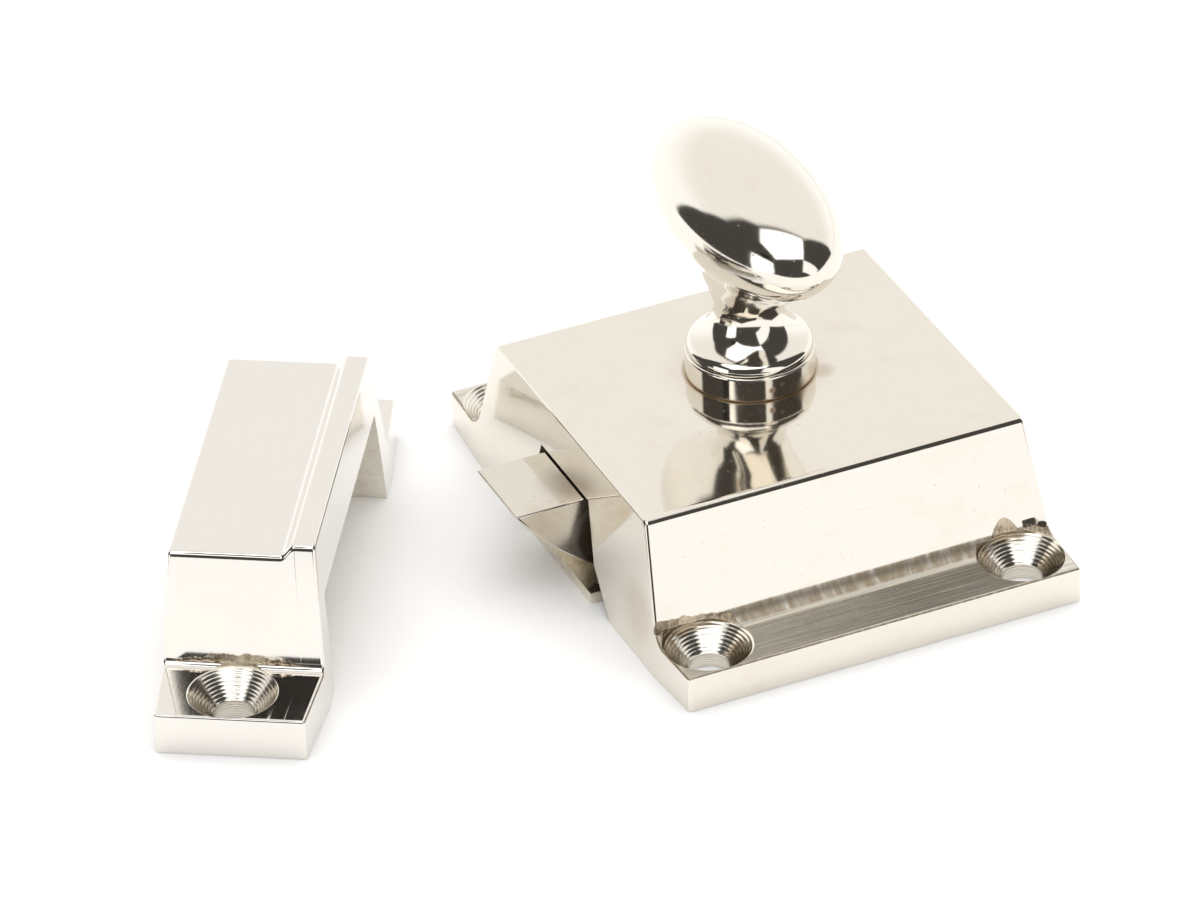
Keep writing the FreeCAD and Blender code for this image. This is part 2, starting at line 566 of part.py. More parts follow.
def make_keeper():
    """Cast bridge with a ridge along its top edge and a hollow that the bolt catches in."""
    body = new_body("keeper")
    crest = "(keeper_height + keeper_ridge)"
    slope = "((keeper_foot_length - keeper_top_length) / 2 / (keeper_height - keeper_lug))"
    hat(body, "keeper_length", "keeper_foot_length", f"(keeper_top_length - 2 * keeper_ridge * {slope})",
        "keeper_lug", crest, "keeper_width")
    draft_sides(body, "keeper_width", "keeper_draft", "keeper_height", "keeper_length")
    taper_lugs(body, "keeper_width", "keeper_taper", "keeper_foot_length", "keeper_length", crest)

    step = sketch(body, "keeper_step", "XZ_Plane")
    ridge = "(keeper_width / 2 - keeper_draft - keeper_ridge_width)"
    outline(step, [("-keeper_width", "keeper_height"),
                   (f"{ridge} - keeper_ridge_cove", "keeper_height", "2 * keeper_ridge_cove", 1),
                   (ridge, f"{crest} - 0.1 * keeper_ridge"), (ridge, f"{crest} + keeper_ridge"),
                   ("-keeper_width", f"{crest} + keeper_ridge")])
    pocket(body, step, "2 * keeper_length", symmetric=True)

    mouth = sketch(body, "keeper_mouth", "YZ_Plane", "-keeper_width / 2 + keeper_back_wall")
    half = [("keeper_mouth_length / 2", "0"), ("keeper_mouth_top_length / 2", "keeper_mouth_height")]
    outline(mouth, half + [(f"-({y})", z) for y, z in reversed(half)])
    pocket(body, mouth, "keeper_width")
    row = "(keeper_length / 2 - keeper_hole_inset)"
    holes = [("keeper_hole_shift", f"{along} * {row}") for along in ("-1", "1")]
    screw_holes(body, holes, row, "keeper_lug", "keeper_foot_length", slope, "keeper_clearing_depth",
                "keeper_relief_radius", "keeper_relief_depth")
    body.Placement.Rotation = FreeCAD.Rotation(FreeCAD.Vector(0, 0, 1), value("keeper_turn"))
    return bind(body, {"Placement.Base.x": "keeper_x", "Placement.Base.y": "keeper_y"})


pieces = [make_case(), make_back_plate(), make_plate_screws(), make_collar_bush(), make_thrust_washer(),
          make_spindle(), make_knob(), make_cam(), make_retaining_clip(), make_bolt(), make_bolt_spring(),
          make_keeper()]
doc.recompute()

for item in doc.Objects:
    if {"Invalid", "Error"} & set(item.State):
        raise RuntimeError(f"{item.Name} failed: {item.State}")
for piece in pieces:
    if piece.Shape.isNull() or not piece.Shape.isValid():
        raise RuntimeError(f"{piece.Label} has no valid shape")

os.makedirs("parts", exist_ok=True)
for piece in pieces:
    piece.Shape.exportStep(f"parts/{piece.Label}.step")
    print(f"{piece.Label}: {piece.Shape.Volume:.1f} mm3, {len(piece.Shape.Solids)} solids")
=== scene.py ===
"""Looks of a cupboard latch and its keeper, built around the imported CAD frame."""

import logging
import math
from dataclasses import dataclass, field
from enum import Enum

import bpy
import numpy as np
from mathutils import Matrix


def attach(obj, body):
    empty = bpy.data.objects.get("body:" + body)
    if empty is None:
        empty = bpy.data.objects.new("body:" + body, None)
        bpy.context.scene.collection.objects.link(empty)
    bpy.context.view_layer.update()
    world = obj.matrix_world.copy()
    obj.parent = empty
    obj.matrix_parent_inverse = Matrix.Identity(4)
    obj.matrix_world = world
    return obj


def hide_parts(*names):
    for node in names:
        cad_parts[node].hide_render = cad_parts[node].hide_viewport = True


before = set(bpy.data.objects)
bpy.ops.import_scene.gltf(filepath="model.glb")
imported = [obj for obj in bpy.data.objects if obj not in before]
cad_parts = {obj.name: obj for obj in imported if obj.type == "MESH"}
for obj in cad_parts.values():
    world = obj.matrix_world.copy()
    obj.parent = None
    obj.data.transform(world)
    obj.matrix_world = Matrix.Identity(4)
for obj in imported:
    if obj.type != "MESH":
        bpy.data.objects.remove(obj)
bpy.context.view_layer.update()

LOG = logging.getLogger("latch")
MM = 0.001
CASE_HEIGHT = 16.0
KNOB_AXIS = (0.4, 2.5)
WELD_DISTANCE = 1e-6
BOLT_MIDDLE = 0.55
Sockets = dict[str | int, object]
Colour = tuple[float, float, float]


# Surfaces


@dataclass
class Surface:
    """Points in millimetres and the faces between them."""

    points: np.ndarray
    faces: list[tuple[int, ...]]

    def joined(self, other: "Surface") -> "Surface":
        """This surface and another one as a single surface."""
        start = len(self.points)
        moved = [tuple(index + start for index in face) for face in other.faces]
        return Surface(np.vstack([self.points, other.points]), self.faces + moved)

    def placed(self, turn: float, shift: tuple[float, float]) -> "Surface":
        """The surface turned about z and moved in the floor's plane.

        Args:
            turn: Angle in degrees.
            shift: Move along x and y in millimetres.

        Returns:
            A new surface.
        """
        angle = math.radians(turn)
        spin = np.array([[math.cos(angle), math.sin(angle), 0], [-math.sin(angle), math.cos(angle), 0],
                         [0, 0, 1]])
        return Surface(self.points @ spin + np.array([*shift, 0.0]), self.faces)


def grid_faces(rows: int, columns: int, wrap: bool = False, flip: bool = False,
               start: int = 0) -> list[tuple[int, ...]]:
    """Quads between neighbouring points of a grid that is numbered row by row.

    Args:
        rows: Number of rows.
        columns: Number of points in a row.
        wrap: Whether the last column joins the first.
        flip: Whether the faces turn the other way.
        start: Number of the grid's first point.

    Returns:
        The faces, four point numbers each.
    """
    row, column = np.meshgrid(np.arange(rows - 1), np.arange(columns if wrap else columns - 1), indexing="ij")
    after = (column + 1) % columns
    quads = np.stack([row * columns + column, row * columns + after, (row + 1) * columns + after,
                      (row + 1) * columns + column], axis=-1).reshape(-1, 4) + start
    return [tuple(quad) for quad in (quads[:, ::-1] if flip else quads).tolist()]


def rounded_path(corners: list[tuple[float, float]], radii: list[float], steps: int = 10) -> np.ndarray:
    """A path of straight runs whose corners are arcs that touch both runs.

    An arc's points are the centre plus the radius along a direction that turns evenly from one run's
    normal to the other's.

    Args:
        corners: The corners of the path.
        radii: Radius at each corner, zero for a sharp one.
        steps: Parts that an arc is divided into.

    Returns:
        Points of the path, one row each.
    """
    spots = np.array(corners, float)
    parts = [spots[:1]]
    for index in range(1, len(spots) - 1):
        corner, radius = spots[index], radii[index]
        into = spots[index] - spots[index - 1]
        out = spots[index + 1] - spots[index]
        into, out = into / np.linalg.norm(into), out / np.linalg.norm(out)
        cross = into[0] * out[1] - into[1] * out[0]
        if radius <= 0 or abs(cross) < 1e-6:
            parts.append(corner[None])
            continue
        turn = math.atan2(cross, float(into @ out))
        reach = radius * math.tan(abs(turn) / 2)
        side = math.copysign(1.0, turn)
        normal = side * np.array([-into[1], into[0]])
        centre = corner - into * reach + normal * radius
        angles = np.linspace(0, turn, steps + 1)
        spoke = -normal * radius
        parts.append(np.stack([centre[0] + spoke[0] * np.cos(angles) - spoke[1] * np.sin(angles),
                               centre[1] + spoke[0] * np.sin(angles) + spoke[1] * np.cos(angles)], axis=-1))
    parts.append(spots[-1:])
    return np.vstack(parts)


def path_normals(path: np.ndarray) -> np.ndarray:
    """Unit normals to the left of a path, each the mean of its two runs' normals."""
    runs = np.diff(path, axis=0)
    runs = runs / np.maximum(np.linalg.norm(runs, axis=1, keepdims=True), 1e-12)
    left = np.stack([-runs[:, 1], runs[:, 0]], axis=-1)
    both = np.vstack([left[:1], left]) + np.vstack([left, left[-1:]])
    return both / np.linalg.norm(both, axis=1, keepdims=True)


def ripple(along: np.ndarray, seed: int, waves: int, longest: float) -> np.ndarray:
    """Uneven line: a sum of sines whose lengths shrink and whose phases come from the seed.

    Args:
        along: Places on the line, in millimetres.
        seed: Start of the random phases.
        waves: Number of sines.
        longest: Length of the longest wave in millimetres.

    Returns:
        Heights between about -1 and 1.
    """
    rng = np.random.default_rng(seed)
    order = np.arange(waves)
    lengths = longest / 1.7 ** order * rng.uniform(0.85, 1.15, waves)
    phases = rng.uniform(0, 2 * math.pi, waves)
    shares = 0.72 ** order
    waves_here = np.sin(2 * math.pi * along[..., None] / lengths + phases) * shares
    return waves_here.sum(axis=-1) / shares.sum() * 1.6


def lathe(profile: np.ndarray, axis: tuple[float, float], around: int = 96,
          swell: float = 0.0, seed: int = 0, above: float = -1e9) -> Surface:
    """A profile of radius and height turned about an upright axis.

    The point at angle a is the axis plus the radius times (cos a, sin a). With a swell the radius also
    varies with the angle, so that the wall isn't a true cylinder. Both ends lie on the axis.

    Args:
        profile: Rows of radius and height, from the lower end to the upper one.
        axis: Place of the axis in x and y.
        around: Points around.
        swell: Largest change of the radius in millimetres.
        seed: Start of the random waves of the swell.
        above: Height below which there is no swell.

    Returns:
        The closed surface.
    """
    angles = np.linspace(0, 2 * math.pi, around, endpoint=False)
    radius = profile[1:-1, :1] + np.zeros((1, around))
    if swell:
        waves = ripple(profile[1:-1, 1:] * 0.35 + angles[None, :] * profile[1:-1, :1].max(), seed, 7, 3.0)
        radius = radius + swell * waves * (profile[1:-1, 1:] > above)
    height = profile[1:-1, 1:] + np.zeros((1, around))
    rings = np.stack([axis[0] + radius * np.cos(angles), axis[1] + radius * np.sin(angles), height],
                     axis=-1).reshape(-1, 3)
    rows = len(profile) - 2
    poles = np.array([[*axis, profile[0, 1]], [*axis, profile[-1, 1]]])
    faces = grid_faces(rows, around, wrap=True)
    low, high, last = rows * around, rows * around + 1, (rows - 1) * around
    faces += [(low, (index + 1) % around, index) for index in range(around)]
    faces += [(high, last + index, last + (index + 1) % around) for index in range(around)]
    return Surface(np.vstack([rings, poles]), faces)


class Along(Enum):
    """Direction that a flat outline is carried along."""

    X = 0
    Y = 1
    Z = 2


def prism(outline: np.ndarray, along: Along, low: float, high: float) -> Surface:
    """A flat outline carried straight from one height to another, with both ends closed.

    Args:
        outline: Rows of the two coordinates across the direction, anticlockwise seen against it.
        along: The direction.
        low: Where it starts.
        high: Where it ends.

    Returns:
        The closed surface.
    """
    count = len(outline)
    heights = np.repeat([low, high], count)[:, None]
    flat = np.vstack([outline, outline])
    points = np.hstack([heights, flat]) if along is Along.X else np.hstack([flat, heights])
    if along is Along.Y:
        points = np.stack([flat[:, 1], heights[:, 0], flat[:, 0]], axis=-1)
    faces = grid_faces(2, count, wrap=True)
    faces += [tuple(range(count))[::-1], tuple(range(count, 2 * count))]
    return Surface(points, faces)


def ragged(outline: np.ndarray, low: float, high: float, swell: float, seed: int, rows: int = 40) -> Surface:
    """A flat outline carried straight up, with a wall that wanders by a ripple.

    A point is the outline's point moved along its normal by swell * ripple(run + 0.35 * height), where
    run is the length along the outline.

    Args:
        outline: Rows of x and y, anticlockwise seen from above.
        low: Height of the lower end.
        high: Height of the upper end.
        swell: Largest move of the wall in millimetres.
        seed: Start of the random waves.
        rows: Levels of points.

    Returns:
        The closed surface.
    """
    closed = np.vstack([outline[-1:], outline, outline[:1]])
    normals = path_normals(closed)[1:-1]
    run = np.concatenate([[0.0], np.cumsum(np.linalg.norm(np.diff(outline, axis=0), axis=1))])
    heights = np.linspace(low, high, rows)[:, None]
    move = swell * ripple(run[None] + 0.35 * heights, seed, 7, 3.0)
    flat = outline[None] + normals[None] * move[..., None]
    points = np.concatenate([flat, heights[..., None] + np.zeros((rows, len(outline), 1))], axis=-1)
    count = len(outline)
    faces = grid_faces(rows, count, wrap=True)
    faces += [tuple(range(count))[::-1], tuple(range((rows - 1) * count, rows * count))]
    return Surface(points.reshape(-1, 3), faces)


def ring(radius: float, centre: tuple[float, float], steps: int = 48) -> np.ndarray:
    """Points of a circle, anticlockwise."""
    angles = np.linspace(0, 2 * math.pi, steps, endpoint=False)
    return np.stack([centre[0] + radius * np.cos(angles), centre[1] + radius * np.sin(angles)], axis=-1)


def rectangle(low: tuple[float, float], high: tuple[float, float]) -> np.ndarray:
    """Corners of a rectangle, anticlockwise."""
    return np.array([low, (high[0], low[1]), high, (low[0], high[1])], float)


def flat_card(corners: np.ndarray) -> Surface:
    """One flat face at height zero."""
    return Surface(np.hstack([corners, np.zeros((len(corners), 1))]), [tuple(range(len(corners)))])


def pillow_bar(path: np.ndarray, low: float, high: float, edge: float, steps: int = 6) -> Surface:
    """A closed outline in the x-z plane carried along y, drawn in by a quarter round at both ends.

    At the angle a of the round the outline is inset by edge * (1 - cos a) and lies edge * (1 - sin a)
    short of the end.

    Args:
        path: Points of the outline, anticlockwise seen from -y.
        low: Where the bar starts along y.
        high: Where it ends.
        edge: Radius of the round.
        steps: Parts of the round.

    Returns:
        The closed surface.
    """
    closed = np.vstack([path[-1:], path, path[:1]])
    normals = path_normals(closed)[1:-1]
    angles = np.linspace(0, math.pi / 2, steps + 1)
    inset = edge * (1 - np.cos(angles))
    short = edge * (1 - np.sin(angles))
    inset = np.concatenate([inset[::-1], inset])
    y = np.concatenate([(low + short)[::-1], high - short])
    flat = path[None] + normals[None] * inset[:, None, None]
    points = np.stack([flat[..., 0], y[:, None] + np.zeros(len(path)), flat[..., 1]], axis=-1)
    count, rows = len(path), len(y)
    faces = grid_faces(rows, count, wrap=True, flip=True)
    faces += [tuple(range(count)), tuple(range((rows - 1) * count, rows * count))[::-1]]
    return Surface(points.reshape(-1, 3), faces)


# Node graphs


@dataclass(frozen=True)
class Term:
    """A number in a node graph, with the usual signs of arithmetic."""

    graph: "Graph"
    socket: bpy.types.NodeSocket

    def __add__(self, other: "Term | float") -> "Term":
        """Sum of two terms."""
        return self.graph.maths("ADD", self, other)

    def __sub__(self, other: "Term | float") -> "Term":
        """Difference of two terms."""
        return self.graph.maths("SUBTRACT", self, other)

    def __mul__(self, other: "Term | float") -> "Term":
        """Product of two terms."""
        return self.graph.maths("MULTIPLY", self, other)

    def __truediv__(self, other: "Term | float") -> "Term":
        """Quotient of two terms."""
        return self.graph.maths("DIVIDE", self, other)

    def lowest(self, other: "Term | float") -> "Term":
        """The smaller of two terms."""
        return self.graph.maths("MINIMUM", self, other)

    def highest(self, other: "Term | float") -> "Term":
        """The larger of two terms."""
        return self.graph.maths("MAXIMUM", self, other)

    def size(self) -> "Term":
        """The term without its sign."""
        return self.graph.maths("ABSOLUTE", self)

    def between(self, low: float, high: float) -> "Term":
        """Smooth step: 0 at low, 1 at high."""
        step = self.graph.add("ShaderNodeMapRange", {"Value": self, "From Min": low, "From Max": high},
                              interpolation_type="SMOOTHSTEP")
        return Term(self.graph, step.outputs["Result"])


class Graph:
    """Writes the nodes of one material or world."""

    def __init__(self, tree: bpy.types.NodeTree) -> None:
        """Start with an empty tree."""
        self.tree = tree
        tree.nodes.clear()

    def add(self, kind: str, inputs: Sockets | None = None, **settings: object) -> bpy.types.Node:
        """Add a node.

        Args:
            kind: Blender's name of the node type.
            inputs: Values or links for its sockets, by the socket's name or number.
            settings: Properties of the node.

        Returns:
            The new node.
        """
        node = self.tree.nodes.new(kind)
        for name, setting in settings.items():
            setattr(node, name, setting)
        for name, given in (inputs or {}).items():
            socket = node.inputs[name]
            given = given.socket if isinstance(given, Term) else given
            if isinstance(given, bpy.types.NodeSocket):
                self.tree.links.new(given, socket)
            else:
                socket.default_value = given
        return node

    def maths(self, operation: str, *terms: "Term | float") -> Term:
        """Result of a Math node."""
        node = self.add("ShaderNodeMath", dict(enumerate(terms)), operation=operation)
        return Term(self, node.outputs[0])

    def split(self, vector: bpy.types.NodeSocket) -> tuple[Term, Term, Term]:
        """The three parts of a vector."""
        node = self.add("ShaderNodeSeparateXYZ", {0: vector})
        return Term(self, node.outputs[0]), Term(self, node.outputs[1]), Term(self, node.outputs[2])

    def pattern(self, vector: bpy.types.NodeSocket, scale: tuple[float, float, float], detail: float = 3.0,
                rough: float = 0.5, shift: float = 0.0) -> Term:
        """Noise on stretched coordinates.

        Args:
            vector: The coordinates.
            scale: Number of features in a unit along each axis.
            detail: Octaves of the noise.
            rough: Weight of the finer octaves.
            shift: Move along every axis, so that two patterns differ.

        Returns:
            Values around 0.5.
        """
        moved = self.add("ShaderNodeMapping", {"Vector": vector, "Scale": scale, "Location": (shift,) * 3})
        noise = self.add("ShaderNodeTexNoise", {"Vector": moved.outputs[0], "Scale": 1.0, "Detail": detail,
                                                "Roughness": rough})
        return Term(self, noise.outputs["Fac"])

    def mixed(self, share: Term, first: object, second: object) -> bpy.types.NodeSocket:
        """Colour between two colours."""
        node = self.add("ShaderNodeMix", data_type="RGBA")
        self.tree.links.new(share.socket, node.inputs[0])
        for socket, given in ((node.inputs[6], first), (node.inputs[7], second)):
            if isinstance(given, bpy.types.NodeSocket):
                self.tree.links.new(given, socket)
            else:
                socket.default_value = (*given, 1.0)
        return node.outputs[2]

    def bump(self, height: Term, depth: float, below: bpy.types.NodeSocket | None = None
             ) -> bpy.types.NodeSocket:
        """Normal bent by a height.

        Args:
            height: The height, 0 to 1.
            depth: Metres between 0 and 1.
            below: Normal to start from.

        Returns:
            The bent normal.
        """
        inputs: Sockets = {"Height": height, "Distance": depth, "Strength": 1.0}
        if below is not None:
            inputs["Normal"] = below
        return self.add("ShaderNodeBump", inputs).outputs[0]


# Finishes


@dataclass(frozen=True)
class StainAndShade:
    """A soft round darkened spot: real staining on the case and collar, painted shade on the bolt."""

    place: tuple[float, float, float]
    radius: float
    strength: float
    core: float = 0.25


def open_material(name: str, turn: float = 0.0
                  ) -> tuple[bpy.types.Material, Graph, bpy.types.NodeSocket, bpy.types.NodeSocket]:
    """Start a metal's material.

    Args:
        name: Name of the material.
        turn: Turn in degrees of the pattern's own axes.

    Returns:
        The material, its graph, the object's coordinates in metres and the turned ones in millimetres.
    """
    made = bpy.data.materials.new(name)
    made.use_nodes = True
    graph = Graph(made.node_tree)
    place = graph.add("ShaderNodeTexCoord").outputs["Object"]
    scaled = graph.add("ShaderNodeMapping", {"Vector": place, "Scale": (1 / MM,) * 3,
                                             "Rotation": (0.0, 0.0, math.radians(turn))}).outputs[0]
    return made, graph, place, scaled


def close_material(graph: Graph, colour: object, rough: Term, normal: bpy.types.NodeSocket) -> None:
    """Join colour, roughness and normal to the shader of a bare metal."""
    shader = graph.add("ShaderNodeBsdfPrincipled", {"Base Color": colour, "Metallic": 1.0, "Roughness": rough,
                                                    "Normal": normal})
    output = graph.add("ShaderNodeOutputMaterial")
    graph.tree.links.new(shader.outputs[0], output.inputs[0])


@dataclass(frozen=True)
class Nickel:
    """Polished nickel plate with brush streaks, a slow unevenness, small pits, tarnishing and darkened spots;
    on the bolt the spots are painted shade.

    Scales are features in a millimetre, depths are metres and other lengths are millimetres.
    """

    base: Colour = (0.815, 0.775, 0.705)
    warm: Colour = (0.70, 0.62, 0.50)
    tarnish_and_shade: Colour = (0.42, 0.31, 0.19)
    scratched: Colour = (0.42, 0.43, 0.39)
    brushed: Colour = (0.40, 0.33, 0.24)
    streaks: tuple[float, float, float] = (0.25, 5.0, 5.0)
    streak_depth: float = 0.9e-6
    streak_warmth: float = 0.16
    wave_length: float = 6.0
    wave_depth: float = 12e-6
    roughness: float = 0.07
    roughness_spread: float = 0.07
    least_roughness: float = 0.03
    side_rough: float = 0.0
    cloudiness: float = 0.22
    cloud_scale: float = 0.16
    pitted: float = 0.3
    pit_scale: float = 2.6
    pit_depth: float = 6e-6
    tarnish_and_shade_rough: float = 0.3
    ledge: float = 0.0
    line_height: float = 0.0
    line_width: float = 0.32
    stains_and_shade: tuple[StainAndShade, ...] = ()
    turn: float = 0.0

    def tarnished(self, graph: Graph, place: bpy.types.NodeSocket, height: Term, cloud: Term,
                  pits: Term) -> Term:
        """Share of the darker colour: in the pits, along a line at a joint's height and in the round spots,
        which on the bolt are painted shade.

        Args:
            graph: The material's graph.
            place: Coordinates in metres.
            height: Height in millimetres.
            cloud: Slow pattern that makes the darkening uneven.
            pits: The pits.

        Returns:
            The share, 0 to 1.
        """
        brown_and_shade = pits * self.pitted
        if self.line_height:
            line = (height - self.line_height).size().between(self.line_width, 0.05) * (cloud + 0.45)
            brown_and_shade = brown_and_shade.highest(line.lowest(0.9))
        # Round darkened spots; on the bolt they are painted shade and a painted reflection beside the case.
        for darkening in self.stains_and_shade:
            spot = tuple(part * MM for part in darkening.place)
            away = graph.add("ShaderNodeVectorMath", {0: place, 1: spot}, operation="DISTANCE")
            rim = darkening.radius * MM
            inside = Term(graph, away.outputs["Value"]).between(rim, rim * darkening.core) * darkening.strength
            brown_and_shade = brown_and_shade.highest(inside * (cloud * 0.8 + 0.6))
        return brown_and_shade

    def worked(self, graph: Graph, scaled: bpy.types.NodeSocket, height: Term, colour: bpy.types.NodeSocket,
               streak: Term, rough: Term) -> tuple[bpy.types.NodeSocket, Term, Term]:
        """Long scratches on the lugs' tops and a brushed band in the cove behind them.

        Args:
            graph: The material's graph.
            scaled: Coordinates in millimetres.
            height: Height in millimetres.
            colour: Colour so far.
            streak: Streaks so far.
            rough: Extra roughness so far.

        Returns:
            The three with the marks added.
        """
        geometry = graph.add("ShaderNodeNewGeometry").outputs
        flat = graph.split(geometry["True Normal"])[2].between(0.8, 0.97) * height.between(
            self.ledge + 0.3, self.ledge + 0.1)
        scratch = graph.pattern(scaled, (0.07, 5.0, 5.0), 5.0, 0.7, 1.0)
        colour = graph.mixed(flat * scratch.between(0.62, 0.42) * 0.5, colour, self.scratched)
        bent = graph.split(geometry["Normal"])[2]
        cove = bent.between(0.34, 0.46) * bent.between(0.985, 0.9) * height.between(
            self.ledge + 2.6, self.ledge + 1.8)
        brush = graph.pattern(scaled, (1.1, 0.3, 0.3), 4.0, 0.65, 6.0)
        colour = graph.mixed(cove * brush.between(0.15, 0.6), colour, self.brushed)
        rough = rough + flat * 0.05 + cove * (brush * 0.35 + 0.18)
        return colour, streak + flat * (scratch - 0.5) * 3.0, rough

    def material(self, name: str) -> bpy.types.Material:
        """Make the material.

        Args:
            name: Name of the material.

        Returns:
            The material.
        """
        made, graph, place, scaled = open_material(name, self.turn)
        streak = graph.pattern(scaled, self.streaks, 4.0, 0.6)
        wave = graph.pattern(scaled, (1.0 / self.wave_length,) * 3, 2.0, 0.4, 3.0)
        cloud = graph.pattern(scaled, (self.cloud_scale,) * 3, 4.0, 0.55, 9.0)
        pits = graph.pattern(scaled, (self.pit_scale,) * 3, 2.0, 0.5, 5.0).between(0.70, 0.78)
        colour = graph.mixed(cloud.between(0.48, 0.75) * self.cloudiness, self.base, self.warm)
        colour = graph.mixed(streak.between(0.5, 0.25) * self.streak_warmth, colour, self.warm)
        height = graph.split(scaled)[2]
        brown_and_shade = self.tarnished(graph, place, height, cloud, pits)
        # The darker colour goes over the pits, the joint line and the round spots; on the bolt the spots are
        # painted shade.
        colour = graph.mixed(brown_and_shade, colour, self.tarnish_and_shade)
        rough = brown_and_shade * self.tarnish_and_shade_rough
        if self.ledge:
            colour, streak, rough = self.worked(graph, scaled, height, colour, streak, rough)
        if self.side_rough:
            facing = graph.split(graph.add("ShaderNodeNewGeometry").outputs["Normal"])[2]
            rough = rough + facing.size().between(0.6, 0.2) * self.side_rough
        middle = self.roughness - self.roughness_spread / 2
        rough = (streak * self.roughness_spread + middle + rough).highest(self.least_roughness)
        normal = graph.bump(wave, self.wave_depth)
        normal = graph.bump(streak, self.streak_depth, normal)
        normal = graph.bump(pits, -self.pit_depth, normal)
        close_material(graph, colour, rough, normal)
        return made


@dataclass(frozen=True)
class Cut:
    """Plated face that a tool or the mould left coarse: lines, rings or grain with dark hollows."""

    base: Colour = (0.80, 0.74, 0.65)
    deep: Colour = (0.20, 0.15, 0.11)
    lines: tuple[float, float, float] = (0.1, 0.1, 9.0)
    depth: float = 20e-6
    roughness: float = 0.22
    cloud_scale: float = 0.7
    dark_share: float = 0.6
    rings: float = 0.0

    def material(self, name: str) -> bpy.types.Material:
        """Make the material.

        Args:
            name: Name of the material.

        Returns:
            The material.
        """
        made, graph, _, scaled = open_material(name)
        tooling = graph.pattern(scaled, self.lines, 4.0, 0.6)
        if self.rings:
            level = graph.split(scaled)[2] * (2 * math.pi * self.rings) + (tooling - 0.5) * 5.0
            tooling = graph.maths("SINE", level) * 0.3 + tooling * 0.5 + 0.25
        cloud = graph.pattern(scaled, (self.cloud_scale,) * 3, 4.0, 0.6, 4.0)
        hollow = (tooling * cloud * 4.0).between(1.05, 0.55) * self.dark_share
        colour = graph.mixed(hollow, self.base, self.deep)
        close_material(graph, colour, cloud * 0.2 + self.roughness, graph.bump(tooling, self.depth))
        return made


SINK = Cut(base=(0.84, 0.80, 0.73), lines=(0.12, 0.12, 2.4), depth=30e-6, roughness=0.05, dark_share=0.25,
           rings=3.4)
GROUND = Cut(base=(0.84, 0.76, 0.63), deep=(0.24, 0.17, 0.11), lines=(3.2, 3.2, 0.5), depth=60e-6,
             roughness=0.08)
PALE_CAST = Cut(base=(0.92, 0.88, 0.80), deep=(0.62, 0.55, 0.45), lines=(2.6, 2.6, 2.6), depth=50e-6,
                roughness=0.42, dark_share=0.35)
# Finish of the case's inside: dark as painted shade, though the keeper's inside, the same kind of casting, is
# pale.
SHADE_PAINTED_CAST = Cut(base=(0.30, 0.26, 0.21), deep=(0.12, 0.10, 0.08), lines=(1.8, 1.8, 1.8), depth=90e-6,
                roughness=0.34, dark_share=0.5)
PALE_PLATE = Cut(base=(0.86, 0.80, 0.69), deep=(0.50, 0.41, 0.30), lines=(0.3, 3.0, 3.0), depth=5e-6,
                 roughness=0.16, dark_share=0.3)
PLAIN_STEEL = Cut(base=(0.62, 0.61, 0.59), deep=(0.22, 0.19, 0.17), lines=(0.3, 3.0, 3.0), depth=6e-6,
                  roughness=0.24, dark_share=0.35)
SPRING_STEEL = Cut(base=(0.50, 0.49, 0.47), deep=(0.16, 0.13, 0.11), lines=(1.5, 1.5, 1.5), depth=4e-6,
                   roughness=0.2, dark_share=0.4)
BRASS = Cut(base=(0.78, 0.57, 0.26), deep=(0.33, 0.2, 0.08), lines=(0.8, 0.8, 4.0), depth=5e-6,
            roughness=0.2, dark_share=0.4)


# Meshes


def make_object(name: str, surface: Surface, finishes: list[bpy.types.Material]) -> bpy.types.Object:
    """Put a surface into a mesh object in metres.

    Args:
        name: Name of the object.
        surface: The surface in millimetres.
        finishes: Materials of the object.

    Returns:
        The object, linked to the scene.
    """
    mesh = bpy.data.meshes.new(name)
    mesh.from_pydata((surface.points * MM).tolist(), [], surface.faces)
    made = bpy.data.objects.new(name, mesh)
    bpy.context.scene.collection.objects.link(made)
    for finish in finishes:
        mesh.materials.append(finish)
    weld = made.modifiers.new("weld", "WELD")
    weld.merge_threshold = WELD_DISTANCE
    settle(made)
    return made


def settle(made: bpy.types.Object) -> None:
    """Apply every modifier of an object to its mesh."""
    depsgraph = bpy.context.evaluated_depsgraph_get()
    depsgraph.update()
    fresh = bpy.data.meshes.new_from_object(made.evaluated_get(depsgraph), depsgraph=depsgraph)
    old = made.data
    made.modifiers.clear()
    made.data = fresh
    fresh.name = made.name
    bpy.data.meshes.remove(old)


def carve(made: bpy.types.Object, surface: Surface, finish: bpy.types.Material | None = None,
          operation: str = "DIFFERENCE") -> None:
    """Cut a closed surface out of an object, or add it.

    Args:
        made: The object.
        surface: The cutter in millimetres.
        finish: Material of the faces that the cutter leaves.
        operation: Kind of boolean.
    """
    tool = make_object("tool", surface, [finish or made.data.materials[0]])
    modifier = made.modifiers.new("carve", "BOOLEAN")
    modifier.object, modifier.operation = tool, operation
    modifier.solver, modifier.material_mode = "EXACT", "TRANSFER"
    settle(made)
    bpy.data.objects.remove(tool)


def read(items: bpy.types.bpy_prop_collection, name: str, kind: type, width: int = 1) -> np.ndarray:
    """One property of every edge, corner or face of a mesh.

    Args:
        items: The edges, corners or faces.
        name: The property.
        kind: Type of its numbers.
        width: How many numbers each item has.

    Returns:
        The numbers in one row.
    """
    values = np.zeros(len(items) * width, kind)
    items.foreach_get(name, values)
    return values


